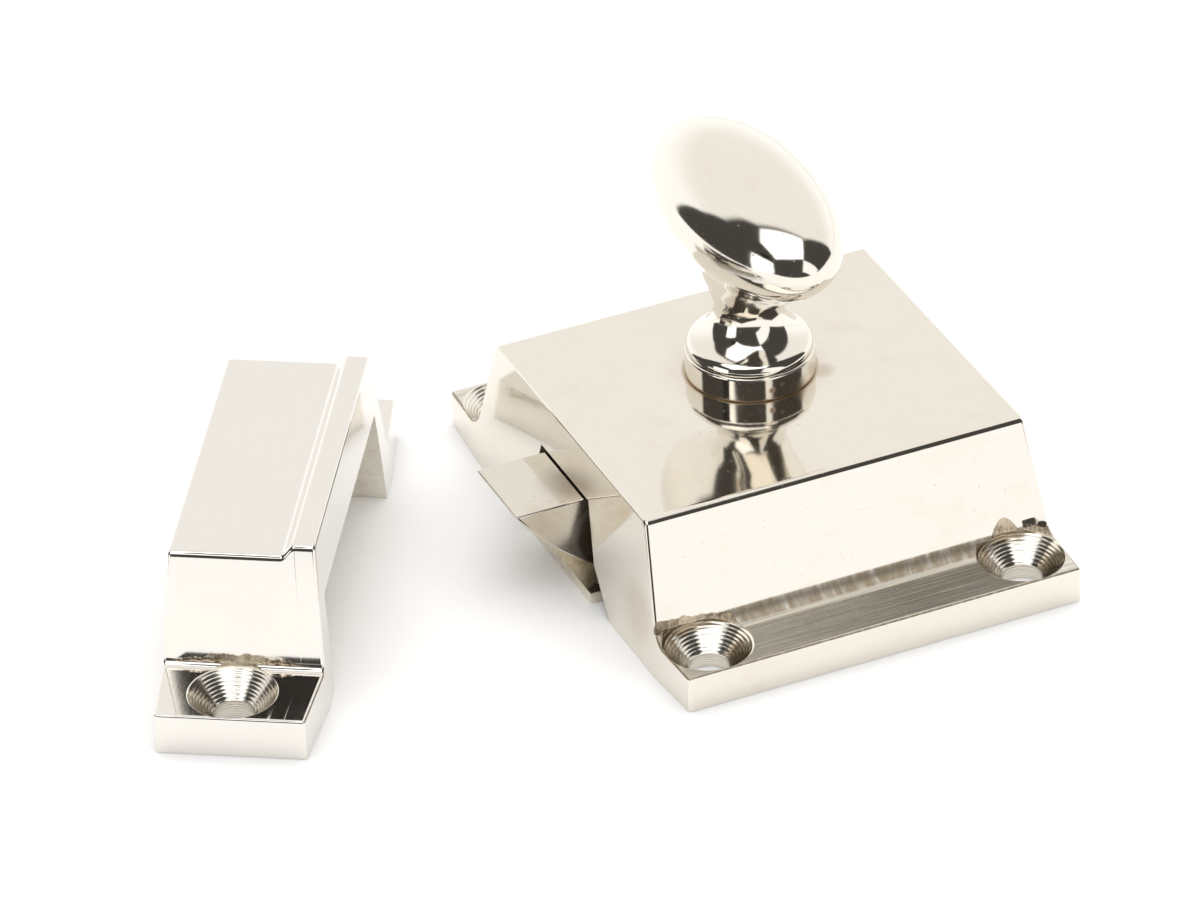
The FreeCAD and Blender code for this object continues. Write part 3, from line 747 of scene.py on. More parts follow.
def smooth(made: bpy.types.Object, angle: float = 28.0) -> None:
    """Smooth shading, with edges kept sharp where the surface turns or its finish changes.

    Args:
        made: The object.
        angle: Edges that turn more than this many degrees stay sharp.
    """
    mesh = made.data
    mesh.polygons.foreach_set("use_smooth", np.ones(len(mesh.polygons), bool))
    mesh.set_sharp_from_angle(angle=math.radians(angle))
    finish = np.repeat(read(mesh.polygons, "material_index", np.int32),
                       read(mesh.polygons, "loop_total", np.int32))
    edge_of = read(mesh.loops, "edge_index", np.int32)
    sharp = read(mesh.edges, "use_edge_sharp", bool)
    least, most = np.full(len(sharp), len(mesh.materials)), np.zeros(len(sharp), int)
    np.minimum.at(least, edge_of, finish)
    np.maximum.at(most, edge_of, finish)
    mesh.edges.foreach_set("use_edge_sharp", sharp | (least != most))
    weight = made.modifiers.new("weights", "WEIGHTED_NORMAL")
    weight.keep_sharp, weight.weight = True, 90
    mesh.update()


# Castings


@dataclass
class Bridge:
    """Block with a screw lug at both ends, leaning sides and rounded edges. Sizes in millimetres."""

    width: float
    length: float
    height: float
    lug: float
    foot: float
    top: float
    draft: float
    taper: float
    top_round: float
    cove: float
    edge: float
    front_edge: float = 0.3
    ridge: float = 0.0
    ridge_start: float = 0.0
    ridge_run: float = 1.0
    rows: int = 8

    def half_section(self) -> np.ndarray:
        """Section from the foot of the front over the lug and slope to the middle of the top.

        Returns:
            Rows of y and z.
        """
        upright = np.linspace(0, self.lug - self.front_edge, self.rows + 1)
        front = np.stack([np.full(self.rows, self.length / 2), upright[:-1]], axis=-1)
        rest = rounded_path([(self.length / 2, upright[-2]), (self.length / 2, self.lug),
                             (self.foot / 2, self.lug), (self.top / 2, self.height), (0.0, self.height)],
                            [0, self.front_edge, self.cove, self.top_round, 0], steps=12)
        return np.vstack([front, rest[1:]])

    def end(self, y: np.ndarray, z: np.ndarray) -> np.ndarray:
        """Distance of the side face from the middle: drafted with height, tapered along the lug."""
        share = np.clip((np.abs(y) - self.foot / 2) / ((self.length - self.foot) / 2), 0, 1)
        return self.width / 2 - np.maximum(self.draft * z / self.height, self.taper * share)

    def rise(self, share: np.ndarray) -> np.ndarray:
        """Extra height across the width: an S-shaped step up to the ridge."""
        across = share * (self.width / 2 - self.draft)
        step = np.clip((across - self.ridge_start) / self.ridge_run, 0, 1)
        return self.ridge * step ** 3 * (step * (6 * step - 15) + 10)

    def surface(self) -> Surface:
        """The section carried across the width, with a quarter round to each side face.

        A point is the section's point moved in by edge * (1 - cos a) along its normal, at the side
        face less edge * (1 - sin a), where a is the angle of the round. Between the rounds the section
        goes straight across and rises to the ridge. The side faces fall from the section's last
        outline to the floor.

        Returns:
            The closed surface.
        """
        half = self.half_section()
        section = np.vstack([half, half[-2::-1] * np.array([-1, 1])])
        normals = path_normals(section)
        normals[:self.rows + 1] = (-1, 0)
        normals[-self.rows - 1:] = (1, 0)
        angles = np.linspace(0, math.pi / 2, 9)
        step = self.ridge_start / (self.width / 2 - self.draft)
        run = self.ridge_run / (self.width / 2 - self.draft)
        middle = np.linspace(-1, 1, 9)
        if self.ridge:
            middle = np.unique(np.concatenate([middle, step + run * np.linspace(0, 1, 25)]))
        middle = middle[1:-1]
        count = len(angles)
        share = np.concatenate([np.full(count, -1.0), middle, np.full(count, 1.0)])
        short = np.full(len(share), self.edge)
        inset = np.zeros(len(share))
        short[:count] = self.edge * (1 - np.sin(angles[::-1]))
        short[-count:] = self.edge * (1 - np.sin(angles))
        inset[:count] = self.edge * (1 - np.cos(angles[::-1]))
        inset[-count:] = self.edge * (1 - np.cos(angles))
        flat = section[None] + normals[None] * inset[:, None, None]
        rise = self.rise(share)[:, None] * (section[None, :, 1] > (self.lug + self.height) / 2)
        lean = (self.foot - self.top) / 2 / (self.height - self.lug)
        y = flat[..., 0] - np.sign(flat[..., 0]) * lean * rise
        z = flat[..., 1] + rise
        x = share[:, None] * (self.end(y, z) - short[:, None])
        stations, points = y.shape
        sweep = np.stack([x, y, z], axis=-1).reshape(-1, 3)
        faces = grid_faces(stations, points)
        made = Surface(sweep, faces)
        bottoms = []
        for row, side in ((0, -1.0), (stations - 1, 1.0)):
            first, last = self.rows, points - self.rows
            column_y, column_z = y[row, first:last], z[row, first:last]
            fall = np.linspace(1, 0, self.rows + 1)[:, None]
            cap_z = column_z[None] * fall
            cap_y = column_y[None] + 0 * fall
            cap = np.stack([side * self.end(cap_y, cap_z), cap_y, cap_z], axis=-1)
            start = len(made.points)
            made = made.joined(Surface(cap.reshape(-1, 3), grid_faces(self.rows + 1, last - first,
                                                                      flip=side < 0)))
            width = last - first
            bottoms.append([start + self.rows * width + index for index in range(width)])
        inner = np.arange(1, stations - 1) * points
        left, right = bottoms
        floor = [tuple(face) for face in zip(left[1:-2], right[1:-2], right[2:-1], left[2:-1])]
        floor.append((left[0], *inner.tolist(), right[0], right[1], left[1]))
        floor.append((left[-2], right[-2], right[-1], *(inner[::-1] + points - 1).tolist(), left[-1]))
        return Surface(made.points, made.faces + floor)


@dataclass(frozen=True)
class Relief:
    """Ground arc above a screw hole: place along the slope, radius, depth and half width in millimetres."""

    shift: float = 0.0
    radius: float = 7.5
    depth: float = 0.65
    half: float = 5.0
    seed: int = 1
    swell: float = 0.05
    polished: bool = False


@dataclass
class ScrewHoles:
    """Countersunk holes with ground reliefs behind them. Sizes in millimetres."""

    row: float
    across: tuple[float, ...]
    lug: float
    foot: float
    lean: float
    near: tuple[tuple[Relief, ...], ...]
    far: Relief = Relief()
    hole: float = 4.2
    sink: float = 9.0
    lip: float = 0.16
    step: float = 0.9

    def drill(self, x: float, y: float) -> Surface:
        """Drill, countersink with a small lip at its rim, and the room for the screw's head above it."""
        depth, rim = (self.sink - self.hole) / 2, self.sink / 2
        lip = np.array([(rim - 0.12, self.lug - 0.12), (rim - 0.05, self.lug - 0.07),
                        (rim + 0.03, self.lug - 0.025), (rim + self.lip, self.lug + 0.012)])
        heights = self.lug + np.linspace(0.1, self.step, 9)
        wall = np.stack([np.full(9, rim + self.lip + 0.02), heights], axis=-1)
        profile = np.vstack([[(0, -1.0), (self.hole / 2, -1.0), (self.hole / 2, self.lug - depth)], lip, wall,
                             [(0, heights[-1])]])
        return lathe(profile, (x, y), 160, swell=0.03, seed=int(abs(x) * 7 + abs(y)), above=self.lug + 0.05)

    def relief_cutter(self, x: float, side: int, relief: Relief) -> Surface:
        """Shallow ground arc above the screw's head, with an uneven wall.

        Its wall is the arc depth - (radius - sqrt(radius^2 - dx^2)) behind the slope, between two straight
        sides at the half width.

        Args:
            x: Place of the hole.
            side: -1 for the near row, 1 for the far one.
            relief: The relief's sizes.

        Returns:
            The cutter.
        """
        wall = self.foot / 2 - self.lean * self.step
        reach = min(relief.half, relief.radius * 0.98)
        across = np.linspace(reach, -reach, 81)
        inner = -wall + relief.depth - relief.radius + np.sqrt(relief.radius ** 2 - across ** 2)
        outer = -wall - 4.0
        outline = np.vstack([[(-reach, outer), (reach, outer)], np.stack([across, inner], axis=-1)])
        outline = outline + (x + relief.shift, 0.0)
        if side > 0:
            outline = outline[::-1] * (1, -1)
        return ragged(outline, self.lug + self.step - 0.13, self.lug + 7.0, relief.swell, relief.seed)

    def cut(self, made: bpy.types.Object, turn: float, shift: tuple[float, float],
            finishes: dict[str, bpy.types.Material]) -> None:
        """Cut every hole of both rows. What the drill leaves above the lug is ground, not countersunk.

        Args:
            made: The casting.
            turn: Turn of the casting in degrees.
            shift: Its place.
            finishes: The finishes sink and ground.
        """
        for number, x in enumerate(self.across):
            for side, reliefs in ((-1, self.near[number]), (1, (self.far,))):
                for relief in reliefs:
                    carve(made, self.relief_cutter(x, side, relief).placed(turn, shift),
                          None if relief.polished else finishes["ground"])
                carve(made, self.drill(x, side * self.row).placed(turn, shift), finishes["sink"])
        mesh = made.data
        names = [material.name for material in mesh.materials]
        sink, ground = (names.index(finishes[key].name) for key in ("sink", "ground"))
        slots = read(mesh.polygons, "material_index", np.int32)
        heights = read(mesh.polygons, "center", float, 3)[2::3]
        slots[(slots == sink) & (heights > (self.lug + 0.03) * MM)] = ground
        mesh.polygons.foreach_set("material_index", slots)


@dataclass
class Case:
    """Hollow casting of the latch with its flanges, opening, cavity and bosses."""

    shape: Bridge = field(default_factory=lambda: Bridge(
        width=45.0, length=60.0, height=CASE_HEIGHT, lug=4.0, foot=45.4, top=37.4, draft=1.33, taper=0.55,
        top_round=1.0, cove=2.2, edge=0.35))
    holes: ScrewHoles = field(default_factory=lambda: ScrewHoles(
        row=25.35, across=(-17.6, 17.6), lug=4.0, foot=45.4, lean=1 / 3, near=(
            (Relief(-4.4, 100.0, 0.36, 8.3, 3), Relief(1.0, 4.0, 0.2, 1.6, 8)),
            (Relief(-0.4, 2.4, 0.6, 1.55, 5, 0.012), Relief(3.15, 60.0, 0.36, 1.5, 6, 0.004, True)))))
    wall: float = 3.0
    cavity_length: float = 32.0
    plate: float = 1.2
    guide_half: float = 8.1
    guide_wall: float = 3.0
    guide_top: float = 10.6
    guide_run: float = 6.0
    boss_inset: float = 2.4
    boss_radius: float = 2.6
    thread_radius: float = 1.03
    thread_top: float = 7.2
    bush_bore: float = 5.0
    opening: tuple[tuple[float, float], ...] = ((12.8, 0.0), (8.0, 4.3), (5.9, 10.8))
    finish: Nickel = Nickel(streaks=(0.12, 4.0, 4.0), ledge=4.0, stains_and_shade=(
        StainAndShade((-21.5, -18.0, 5.0), 5.0, 0.3), StainAndShade((0.4, 2.5, 16.0), 10.0, 0.16, 0.6),
        StainAndShade((0.4, 2.5, 16.0), 7.35, 0.75, 0.93), StainAndShade((6.5, -1.2, 16.0), 2.2, 0.5)))

    def cavity(self, made: bpy.types.Object, shade_cast: bpy.types.Material) -> None:
        """Hollow the casting and leave its bosses and the bolt's guide standing.

        Args:
            made: The casting.
            shade_cast: Finish of the inside, dark as painted shade.
        """
        side, end = self.shape.width / 2 - self.wall, self.cavity_length / 2
        roof = self.shape.height - self.wall
        carve(made, prism(rectangle((-side, -end), (side, end)), Along.Z, -1.0, roof), shade_cast)
        low, high = BOLT_MIDDLE - self.guide_half, BOLT_MIDDLE + self.guide_half
        near, far = low + self.guide_wall, high - self.guide_wall
        guide = np.array([(low, self.plate), (near, self.plate), (near, self.guide_top),
                          (far, self.guide_top), (far, self.plate), (high, self.plate),
                          (high, roof + 0.5), (low, roof + 0.5)])
        carve(made, prism(guide, Along.X, -side - 0.5, -side + self.guide_run), shade_cast, "UNION")
        for x in (self.boss_inset - side, side - self.boss_inset):
            for y in (self.boss_inset - end, end - self.boss_inset):
                boss = prism(ring(self.boss_radius, (x, y)), Along.Z, self.plate, roof + 0.5)
                carve(made, boss, shade_cast, "UNION")
                carve(made, prism(ring(self.thread_radius, (x, y)), Along.Z, 0.5, self.thread_top), shade_cast)
        bore = prism(ring(self.bush_bore, KNOB_AXIS, 96), Along.Z, roof - 1, self.shape.height + 1)
        carve(made, bore, shade_cast)

    def build(self) -> bpy.types.Object:
        """Make the case.

        Returns:
            The finished piece.
        """
        # The inside's dark finish is painted shade.
        shade_cast = SHADE_PAINTED_CAST.material("case_inside_painted_shade")
        finishes = {"sink": SINK.material("case_sink"), "ground": GROUND.material("case_ground")}
        made = make_object("case_casting", self.shape.surface(), [self.finish.material("case_nickel")])
        self.cavity(made, shade_cast)
        half = np.array(self.opening)
        outline = np.vstack([half, (half * (-1, 1))[::-1]]) + (BOLT_MIDDLE, 0)
        outline[outline[:, 1] == 0, 1] = -0.5
        inner = -self.shape.width / 2 + self.wall + 0.01
        carve(made, prism(outline, Along.X, -self.shape.width, inner), shade_cast)
        self.holes.cut(made, 0.0, (0.0, 0.0), finishes)
        smooth(made)
        return made


@dataclass
class Keeper:
    """Casting that the bolt catches in, with a ridge along its edge and a hollow below."""

    shape: Bridge = field(default_factory=lambda: Bridge(
        width=17.0, length=59.6, height=16.4, lug=4.5, foot=41.8, top=36.3, draft=1.0, taper=0.85,
        top_round=0.8, cove=1.0, edge=0.35, ridge=1.15, ridge_start=3.9, ridge_run=1.9))
    holes: ScrewHoles = field(default_factory=lambda: ScrewHoles(
        row=25.25, across=(-0.4,), lug=4.5, foot=41.8, lean=0.231,
        near=((Relief(0.0, 100.0, 0.19, 7.0, 4),),),
        far=Relief(0.0, 100.0, 0.19, 7.0, 9), step=0.6))
    turn: float = -31.6
    place: tuple[float, float] = (-50.2, 9.2)
    mouth: tuple[tuple[float, float], ...] = ((17.7, -0.5), (16.6, 11.0))
    back_wall: float = 2.5
    finish: Nickel = Nickel(base=(0.82, 0.79, 0.745), warm=(0.76, 0.71, 0.63), streaks=(5.0, 0.12, 5.0),
                            cloudiness=0.12, pitted=0.02, pit_depth=1e-6, streak_depth=0.35e-6,
                            wave_depth=5e-6, turn=31.6)

    def build(self) -> bpy.types.Object:
        """Make the keeper.

        Returns:
            The finished piece.
        """
        finishes = {"sink": SINK.material("keeper_sink"), "ground": GROUND.material("keeper_ground")}
        made = make_object("keeper_casting", self.shape.surface().placed(self.turn, self.place),
                           [self.finish.material("keeper_nickel")])
        half = np.array(self.mouth)
        outline = np.vstack([half, half[::-1] * (-1, 1)])
        cutter = prism(outline, Along.X, -self.shape.width / 2 + self.back_wall, self.shape.width)
        carve(made, cutter.placed(self.turn, self.place), PALE_CAST.material("keeper_inside"))
        self.holes.cut(made, self.turn, self.place, finishes)
        smooth(made)
        return made


# Moving pieces


@dataclass
class Knob:
    """Cast oval knob: bead, waisted neck, flare and oval head as one surface. Sizes in millimetres."""

    foot: float = 18.85
    bead_radius: float = 6.6
    bead_top: float = 20.13
    shoulder: float = 5.975
    neck: float = 3.6
    neck_top: float = 24.25
    head_centre: float = 35.4
    head_half: tuple[float, float, float] = (7.95, 15.95, 6.93)
    flare_top: float = 31.935
    bead_curve: float = 1.25
    neck_curve: float = 4.75
    flare_steps: tuple[float, ...] = (0, 0.25, 0.5, 0.75, 1.0)
    flare_wide: tuple[float, ...] = (0, 0.12, 0.38, 0.62, 1.0)
    flare_long: tuple[float, ...] = (0, 0.22, 0.46, 0.72, 1.0)
    bore: float = 2.02
    bore_depth: float = 7.42
    finish: Nickel = Nickel(streaks=(5.0, 5.0, 0.15), roughness=0.09, streak_depth=1.2e-6)

    def stem(self) -> np.ndarray:
        """Radius and height from the foot to the neck: a bulging bead, then a hollow curve.

        Returns:
            Rows of radius, radius and height, because the stem is round.
        """
        bead = bulge((self.bead_radius, self.foot + 0.2), (self.shoulder, self.bead_top),
                     self.bead_curve, 1)
        waist = bulge((self.shoulder, self.bead_top), (self.neck, self.neck_top), self.neck_curve, -1, 40)
        path = np.vstack([[(self.bead_radius - 0.12, self.foot)], bead, waist[1:]])
        return path[:, [0, 0, 1]]

    def flare(self) -> np.ndarray:
        """Half width, half length and height of the ovals between the neck and the head.

        Returns:
            Rows of half width, half length and height.
        """
        rise = self.flare_top - self.neck_top
        share = np.linspace(0, 1, 60)[1:]
        cut = math.sqrt(1 - ((self.flare_top - self.head_centre) / self.head_half[2]) ** 2)
        wide = soften(np.interp(share, self.flare_steps, self.flare_wide), 9)
        long = soften(np.interp(share, self.flare_steps, self.flare_long), 9)
        return np.stack([self.neck + wide * (cut * self.head_half[0] - self.neck),
                         self.neck + long * (cut * self.head_half[1] - self.neck),
                         self.neck_top + share * rise], axis=-1)

    def head(self) -> np.ndarray:
        """Sections of the oval head from the flare up to its top.

        Returns:
            Rows of half width, half length and height.
        """
        start = math.asin((self.flare_top - self.head_centre) / self.head_half[2])
        angle = np.linspace(start, math.pi / 2, 90)[1:-1]
        return np.stack([self.head_half[0] * np.cos(angle), self.head_half[1] * np.cos(angle),
                         self.head_centre + self.head_half[2] * np.sin(angle)], axis=-1)

    def build(self) -> bpy.types.Object:
        """Make the knob: each level is an oval of its half width and half length.

        Returns:
            The finished piece.
        """
        bore_top = self.foot + self.bore_depth
        inside = np.array([(self.bore, self.bore, bore_top), (self.bore, self.bore, self.foot)])
        levels = np.vstack([inside, self.stem(), self.flare(), self.head()])
        around = 200
        angles = np.linspace(0, 2 * math.pi, around, endpoint=False)
        x = KNOB_AXIS[0] + levels[:, :1] * np.cos(angles)
        y = KNOB_AXIS[1] + levels[:, 1:2] * np.sin(angles)
        z = levels[:, 2:] + np.zeros((1, around))
        points = np.stack([x, y, z], axis=-1).reshape(-1, 3)
        rows = len(levels)
        top, bottom, last = rows * around, rows * around + 1, (rows - 1) * around
        faces = grid_faces(rows, around, wrap=True)
        faces += [(top, last + index, last + (index + 1) % around) for index in range(around)]
        faces += [(bottom, (index + 1) % around, index) for index in range(around)]
        poles = np.array([[*KNOB_AXIS, self.head_centre + self.head_half[2]], [*KNOB_AXIS, bore_top]])
        made = make_object("knob_casting", Surface(np.vstack([points, poles]), faces),
                           [self.finish.material("knob_nickel")])
        smooth(made, 24.0)
        return made


def bulge(start: tuple[float, float], end: tuple[float, float], radius: float, side: int,
          steps: int = 20) -> np.ndarray:
    """Points of an arc of a given radius between two points.

    Args:
        start: First point.
        end: Last point.
        radius: Radius of the arc.
        side: 1 to bend to the right of the way there, -1 to the left.
        steps: Parts of the arc.

    Returns:
        Points of the arc.
    """
    first, last = np.array(start, float), np.array(end, float)
    chord = last - first
    length = float(np.linalg.norm(chord))
    normal = side * np.array([chord[1], -chord[0]]) / length
    centre = (first + last) / 2 - normal * math.sqrt(radius ** 2 - length ** 2 / 4)
    spoke = first - centre
    half = math.asin(length / 2 / radius)
    angles = np.linspace(0, side * 2 * half, steps + 1)
    return np.stack([centre[0] + spoke[0] * np.cos(angles) - spoke[1] * np.sin(angles),
                     centre[1] + spoke[0] * np.sin(angles) + spoke[1] * np.cos(angles)], axis=-1)


def soften(line: np.ndarray, width: int) -> np.ndarray:
    """Running mean of a line, its ends continued straight."""
    half = width // 2
    before = line[0] + (line[0] - line[1]) * np.arange(half, 0, -1)
    after = line[-1] + (line[-1] - line[-2]) * np.arange(1, half + 1)
    long = np.concatenate([before, line, after])
    return np.convolve(long, np.ones(width) / width, mode="valid")


@dataclass
class Collar:
    """Flange of the bush under the knob, a turned ring. Sizes in millimetres."""

    radius: float = 6.76
    height: float = 2.8
    shank: float = 4.98
    shank_length: float = 3.0
    bore: float = 3.55
    round: float = 0.3
    finish: Nickel = Nickel(streaks=(0.4, 0.4, 4.0), line_height=16.0, stains_and_shade=(
        StainAndShade((3.0, -4.0, 16.0), 2.2, 0.6), StainAndShade((0.9, -4.15, 17.7), 0.45, 0.9),
        StainAndShade((-0.2, -4.2, 17.2), 0.5, 0.8), StainAndShade((1.9, -4.0, 16.9), 0.4, 0.9),
        StainAndShade((7.0, 0.5, 16.2), 2.0, 0.9)))

    def build(self) -> bpy.types.Object:
        """Make the ring by turning its closed section.

        Returns:
            The finished piece.
        """
        top, low = CASE_HEIGHT + self.height, CASE_HEIGHT - self.shank_length
        section = rounded_path([(self.bore, low), (self.shank, low), (self.shank, CASE_HEIGHT),
                                (self.radius, CASE_HEIGHT), (self.radius, top), (self.bore, top),
                                (self.bore, low)], [0, 0, 0, 0.12, self.round, 0.15, 0], steps=8)[:-1]
        around = 160
        angles = np.linspace(0, 2 * math.pi, around, endpoint=False)
        radius, height = section[:, :1], section[:, 1:] + np.zeros((1, around))
        points = np.stack([KNOB_AXIS[0] + radius * np.cos(angles), KNOB_AXIS[1] + radius * np.sin(angles),
                           height], axis=-1).reshape(-1, 3)
        rows = len(section)
        faces = grid_faces(rows, around, wrap=True)
        last = (rows - 1) * around
        faces += [(last + index, last + (index + 1) % around, (index + 1) % around, index)
                  for index in range(around)]
        made = make_object("collar_ring", Surface(points, faces), [self.finish.material("collar_nickel")])
        smooth(made)
        return made


@dataclass
class Bolt:
    """Sliding bolt: bevelled head, tail with a slot for the spring, and the lug for the cam."""

    reach: float = 29.2
    top: float = 10.5
    floor: float = 1.3
    width: float = 10.0
    rear: float = 12.2
    tail_top: float = 5.0
    tail_end: float = 8.0
    nose_foot: float = -19.4
    nose_curve: float = 28.4
    nose_edge: float = 0.25
    slot_half: float = 2.6
    cam_lug: tuple[float, float] = (1.65, 5.65)
    edge: float = 0.26
    # The bolt's two round spots and its near-black darker colour are painted shade and a painted reflection
    # of the dark case opening, on the bolt beside the case.
    finish: Nickel = Nickel(base=(0.73, 0.69, 0.615), streaks=(0.2, 4.0, 4.0), warm=(0.58, 0.49, 0.38),
                            cloudiness=0.6, pitted=0.6, streak_depth=1.6e-6, side_rough=0.16,
                            tarnish_and_shade=(0.10, 0.075, 0.05), stains_and_shade=(
        StainAndShade((-21.3, -1.0, 10.5), 4.8, 0.4), StainAndShade((-18.3, -4.45, 5.5), 5.2, 1.0, 0.74)))

    def build(self) -> bpy.types.Object:
        """Make the bolt: the head's side view carried across, with the tail and lug added.

        Returns:
            The finished piece.
        """
        low, high = BOLT_MIDDLE - self.width / 2, BOLT_MIDDLE + self.width / 2
        tip = (-self.reach, self.top - self.nose_edge)
        nose = bulge(tip, (self.nose_foot, self.floor), self.nose_curve, 1, 40)
        side = np.vstack([nose, [(-self.rear, self.floor), (-self.rear, self.top), (-self.reach, self.top)]])
        side = np.vstack([side[:-1], rounded_path([(-self.rear, self.top), (-self.reach, self.top),
                                                   tip], [0, 0.12, 0], 4)[1:-1]])
        made = make_object("bolt_slide", pillow_bar(side, low, high, self.edge),
                           [self.finish.material("bolt_nickel_painted_shade")])
        tail = rectangle((self.floor + 0.02, -self.rear - 1), (self.tail_top, self.tail_end))
        carve(made, prism(tail, Along.Y, low + 0.2, high - 0.2), operation="UNION")
        lug = rectangle((self.cam_lug[0], low + 0.25), (self.cam_lug[1], BOLT_MIDDLE - self.slot_half + 0.05))
        carve(made, prism(lug, Along.Z, self.tail_top - 1, self.top), operation="UNION")
        slot = rectangle((-self.rear, BOLT_MIDDLE - self.slot_half),
                         (self.tail_end + 1, BOLT_MIDDLE + self.slot_half))
        carve(made, prism(slot, Along.Z, 0.0, self.tail_top + 1))
        smooth(made)
        return made


# Studio


@dataclass
class Studio:
    """Camera, floor and soft light. Directions are measured from the camera's own side."""

    right: tuple[float, float] = (0.9206, -0.3906)
    toward: tuple[float, float] = (-0.3906, -0.9206)
    lens: float = 240.0
    sensor: float = 36.0
    camera_place: tuple[float, float, float] = (-0.285695, -0.631369, 0.458271)
    camera_axes: tuple[tuple[float, float, float], ...] = (
        (0.91150747, -0.40996401, -0.03291859), (0.24881169, 0.485929, 0.83783396),
        (-0.32748568, -0.77188245, 0.54493175))
    far_level: float = 1.05
    horizon_level: float = 1.25
    dark_level: float = 0.07
    fill_level: float = 0.9
    window_levels: tuple[float, ...] = (1.7, 1.5, 1.24)
    lamp_power: float = 6.6
    lamp_size: float = 1.4
    lamp_place: tuple[float, float, float] = (0.1, 0.1, 1.1)
    floor_half: float = 3000.0
    floor_drop: float = 0.00005
    paper_front: float = 0.160
    paper_left: float = 0.115
    paper_fade: float = 0.010
    edge: float = 3.0
    flag_place: tuple[float, float, float] = (-0.0931, -0.0326, 0.0772)
    flag_turn: float = -140.0
    flag_lean: float = 30.3
    flag_low: tuple[float, float] = (-9.0, -6.8)
    flag_high: tuple[float, float] = (9.0, 14.0)
    rim_reach: float = 100.0
    rim_low: float = -60.0
    rim_range: float = 70.0
    dark_rim: tuple[tuple[float, float], ...] = (
        (-100, -56), (-88, -52), (-74, -22), (-60, -7), (-42, -4), (-30, 2), (28, 4), (40, -2), (52, -8),
        (76, -24), (96, -32))
    windows: tuple[tuple[tuple[float, float], ...], ...] = (
        ((-30, 6), (25, 6), (25, 44), (-4, 50), (-36, 50), (-42, 21)),
        ((-98, 44), (-66, 29), (-46, 56), (-60, 76), (-80, 76), (-94, 60)),
        ((24, 46), (80, 46), (80, 80), (24, 80)))

    def camera(self) -> None:
        """Put the camera where the photograph was taken."""
        data = bpy.data.cameras.new("camera")
        data.lens, data.sensor_width = self.lens, self.sensor
        data.clip_start, data.clip_end = 0.05, 20.0
        made = bpy.data.objects.new("camera", data)
        bpy.context.scene.collection.objects.link(made)
        turn = Matrix(self.camera_axes).transposed().to_4x4()
        made.matrix_world = Matrix.Translation(self.camera_place) @ turn
        bpy.context.scene.camera = made

    def window(self, graph: Graph, across: Term, near: Term,
               corners: tuple[tuple[float, float], ...]) -> Term:
        """Soft-edged convex window.

        Args:
            graph: The sky's graph.
            across: Degrees to the right of the zenith.
            near: Degrees towards the camera.
            corners: Corners of the window.

        Returns:
            1 inside and 0 outside.
        """
        spots = np.array(corners, float)
        if np.cross(spots[1] - spots[0], spots[2] - spots[1]) < 0:
            spots = spots[::-1]
        depth = None
        for start, stop in zip(spots, np.roll(spots, -1, axis=0)):
            run = (stop - start) / np.linalg.norm(stop - start)
            inside = (across - float(start[0])) * float(-run[1]) + (near - float(start[1])) * float(run[0])
            depth = inside if depth is None else depth.lowest(inside)
        return depth.between(-1.0, 1.5)

    def sky(self) -> None:
        """Soft boxes round the object: a white sweep behind it, a dark room and windows in front."""
        world = bpy.data.worlds.new("studio")
        bpy.context.scene.world = world
        world.use_nodes = True
        graph = Graph(world.node_tree)
        ray = graph.add("ShaderNodeTexCoord").outputs["Generated"]
        x, y, z = graph.split(graph.add("ShaderNodeVectorMath", {0: ray}, operation="NORMALIZE").outputs[0])
        side = x * self.right[0] + y * self.right[1]
        front = x * self.toward[0] + y * self.toward[1]
        flat = graph.maths("SQRT", side * side + front * front).highest(1e-4)
        fall = graph.maths("ARCCOSINE", z.lowest(0.99999).highest(-0.99999)) * (180 / math.pi)
        across, near = side / flat * fall, front / flat * fall
        ramp = graph.add("ShaderNodeValToRGB", {"Fac": (across + self.rim_reach) / (2 * self.rim_reach)})
        elements = ramp.color_ramp.elements
        for number, (u, v) in enumerate(self.dark_rim):
            spot = elements[number] if number < 2 else elements.new(1.0)
            spot.position = (u + self.rim_reach) / (2 * self.rim_reach)
            spot.color = ((v - self.rim_low) / self.rim_range,) * 3 + (1.0,)
        rim = graph.split(ramp.outputs["Color"])[0] * self.rim_range + self.rim_low
        dark = (near - rim).between(-self.edge, self.edge)
        low = fall.between(60.0, 90.0)
        cream = tuple(self.far_level * part for part in (1.0, 0.985, 0.955))
        sweep = graph.mixed(low, cream, (self.horizon_level,) * 3)
        lit = graph.mixed(dark, sweep, tuple(self.dark_level * part for part in (1.0, 0.93, 0.86)))
        for corners, level in zip(self.windows, self.window_levels):
            lit = graph.mixed(self.window(graph, across, near, corners), lit, (level,) * 3)
        path = graph.add("ShaderNodeLightPath")
        fill = Term(graph, path.outputs["Is Diffuse Ray"])
        lit = graph.mixed(fill * dark, lit, (self.fill_level,) * 3)
        seen = graph.mixed(Term(graph, path.outputs["Is Camera Ray"]), lit, (1.0, 1.0, 1.0))
        back = graph.add("ShaderNodeBackground", {"Color": seen, "Strength": 1.0})
        output = graph.add("ShaderNodeOutputWorld")
        world.node_tree.links.new(back.outputs[0], output.inputs[0])

    def lamp(self) -> None:
        """A wide soft light overhead that shows in no reflection."""
        data = bpy.data.lights.new("overhead", "AREA")
        data.shape, data.size, data.energy = "SQUARE", self.lamp_size, self.lamp_power
        made = bpy.data.objects.new("overhead", data)
        made.location = self.lamp_place
        made.visible_glossy = False
        bpy.context.scene.collection.objects.link(made)

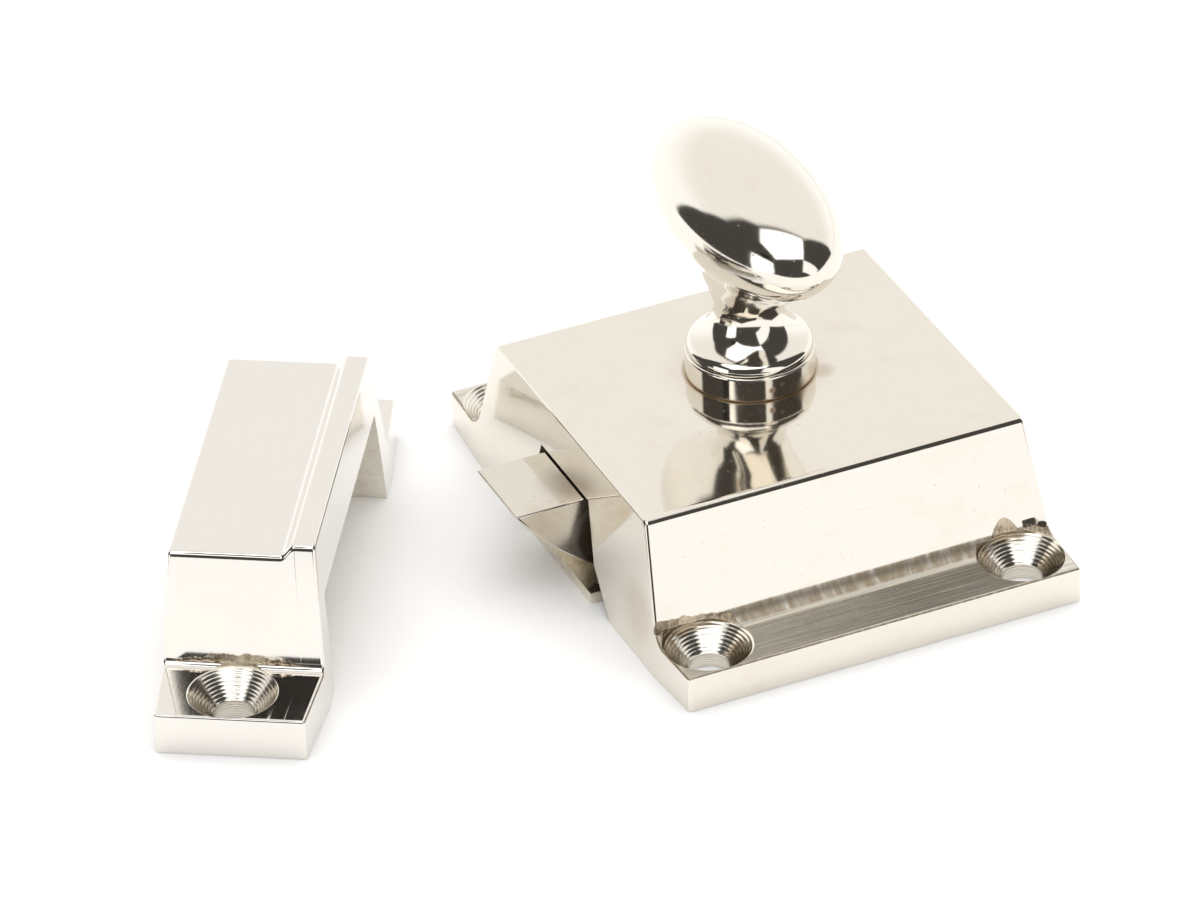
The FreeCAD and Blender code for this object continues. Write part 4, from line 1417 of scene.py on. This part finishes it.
    def floor(self) -> None:
        """Pale floor. Mirrors see it only as far as the paper reaches in front of the object."""
        half = self.floor_half
        surface = flat_card(rectangle((-half, -half), (half, half)))
        paper = bpy.data.materials.new("paper")
        paper.use_nodes = True
        graph = Graph(paper.node_tree)
        place = graph.add("ShaderNodeTexCoord").outputs["Object"]
        x, y, _ = graph.split(place)
        front = x * self.toward[0] + y * self.toward[1]
        side = x * self.right[0] + y * self.right[1]
        off = front.between(self.paper_front, self.paper_front + self.paper_fade).highest(
            (side * -1.0).between(self.paper_left, self.paper_left + self.paper_fade))
        path = graph.add("ShaderNodeLightPath")
        gone = off * Term(graph, path.outputs["Is Glossy Ray"])
        grain = graph.pattern(place, (900.0, 900.0, 900.0), 3.0)
        colour = graph.mixed(grain, (0.93, 0.93, 0.925), (0.96, 0.96, 0.955))
        white = graph.add("ShaderNodeBsdfPrincipled", {"Base Color": colour, "Roughness": 0.9,
                                                       "Specular IOR Level": 0.1})
        clear = graph.add("ShaderNodeBsdfTransparent")
        mix = graph.add("ShaderNodeMixShader", {0: gone, 1: white.outputs[0], 2: clear.outputs[0]})
        output = graph.add("ShaderNodeOutputMaterial")
        paper.node_tree.links.new(mix.outputs[0], output.inputs[0])
        made = make_object("floor", surface, [paper])
        made.location.z = -self.floor_drop

    def flag(self) -> None:
        """Small black card over the keeper's near end that only mirrors see."""
        surface = flat_card(rectangle(self.flag_low, self.flag_high))
        black = bpy.data.materials.new("black_card")
        black.use_nodes = True
        graph = Graph(black.node_tree)
        cloth = graph.add("ShaderNodeBsdfDiffuse", {"Color": (0.02, 0.018, 0.016, 1.0)})
        output = graph.add("ShaderNodeOutputMaterial")
        black.node_tree.links.new(cloth.outputs[0], output.inputs[0])
        made = make_object("flag", surface, [black])
        made.matrix_world = Matrix.Translation(self.flag_place) @ Matrix.Rotation(
            math.radians(self.flag_turn), 4, "Z") @ Matrix.Rotation(math.radians(self.flag_lean), 4, "Y")
        made.visible_camera = made.visible_diffuse = made.visible_shadow = False

    def build(self) -> None:
        """Set the whole stage."""
        scene = bpy.context.scene
        scene.view_settings.view_transform = "Standard"
        scene.view_settings.look = "None"
        self.camera()
        self.sky()
        self.lamp()
        self.floor()
        self.flag()


# Assembly


def dress_carried_nodes() -> None:
    """Give the CAD nodes that stay their own finishes."""
    finishes = {"back_plate": PALE_PLATE, "plate_screws": PLAIN_STEEL, "spindle": PLAIN_STEEL,
                "cam": PLAIN_STEEL, "thrust_washer": BRASS, "retaining_clip": SPRING_STEEL,
                "bolt_spring": SPRING_STEEL}
    for name, finish in finishes.items():
        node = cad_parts[name]
        node.data.materials.clear()
        node.data.materials.append(finish.material(f"{name}_finish"))
        LOG.info("%s keeps its solid", name)


def main() -> None:
    """Build the stage and every piece, and set each on its body."""
    logging.basicConfig(level=logging.INFO, format="%(name)s: %(message)s")
    Studio().build()
    dress_carried_nodes()
    for piece, body, node in ((Case(), "latch", "case"), (Keeper(), "latch", "keeper"),
                              (Knob(), "knob", "knob"), (Collar(), "latch", "collar_bush"),
                              (Bolt(), "bolt", "bolt")):
        made = piece.build()
        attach(made, body)
        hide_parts(node)
        LOG.info("%s: %d faces for %s", made.name, len(made.data.polygons), node)


if __name__ == "__main__":
    main()
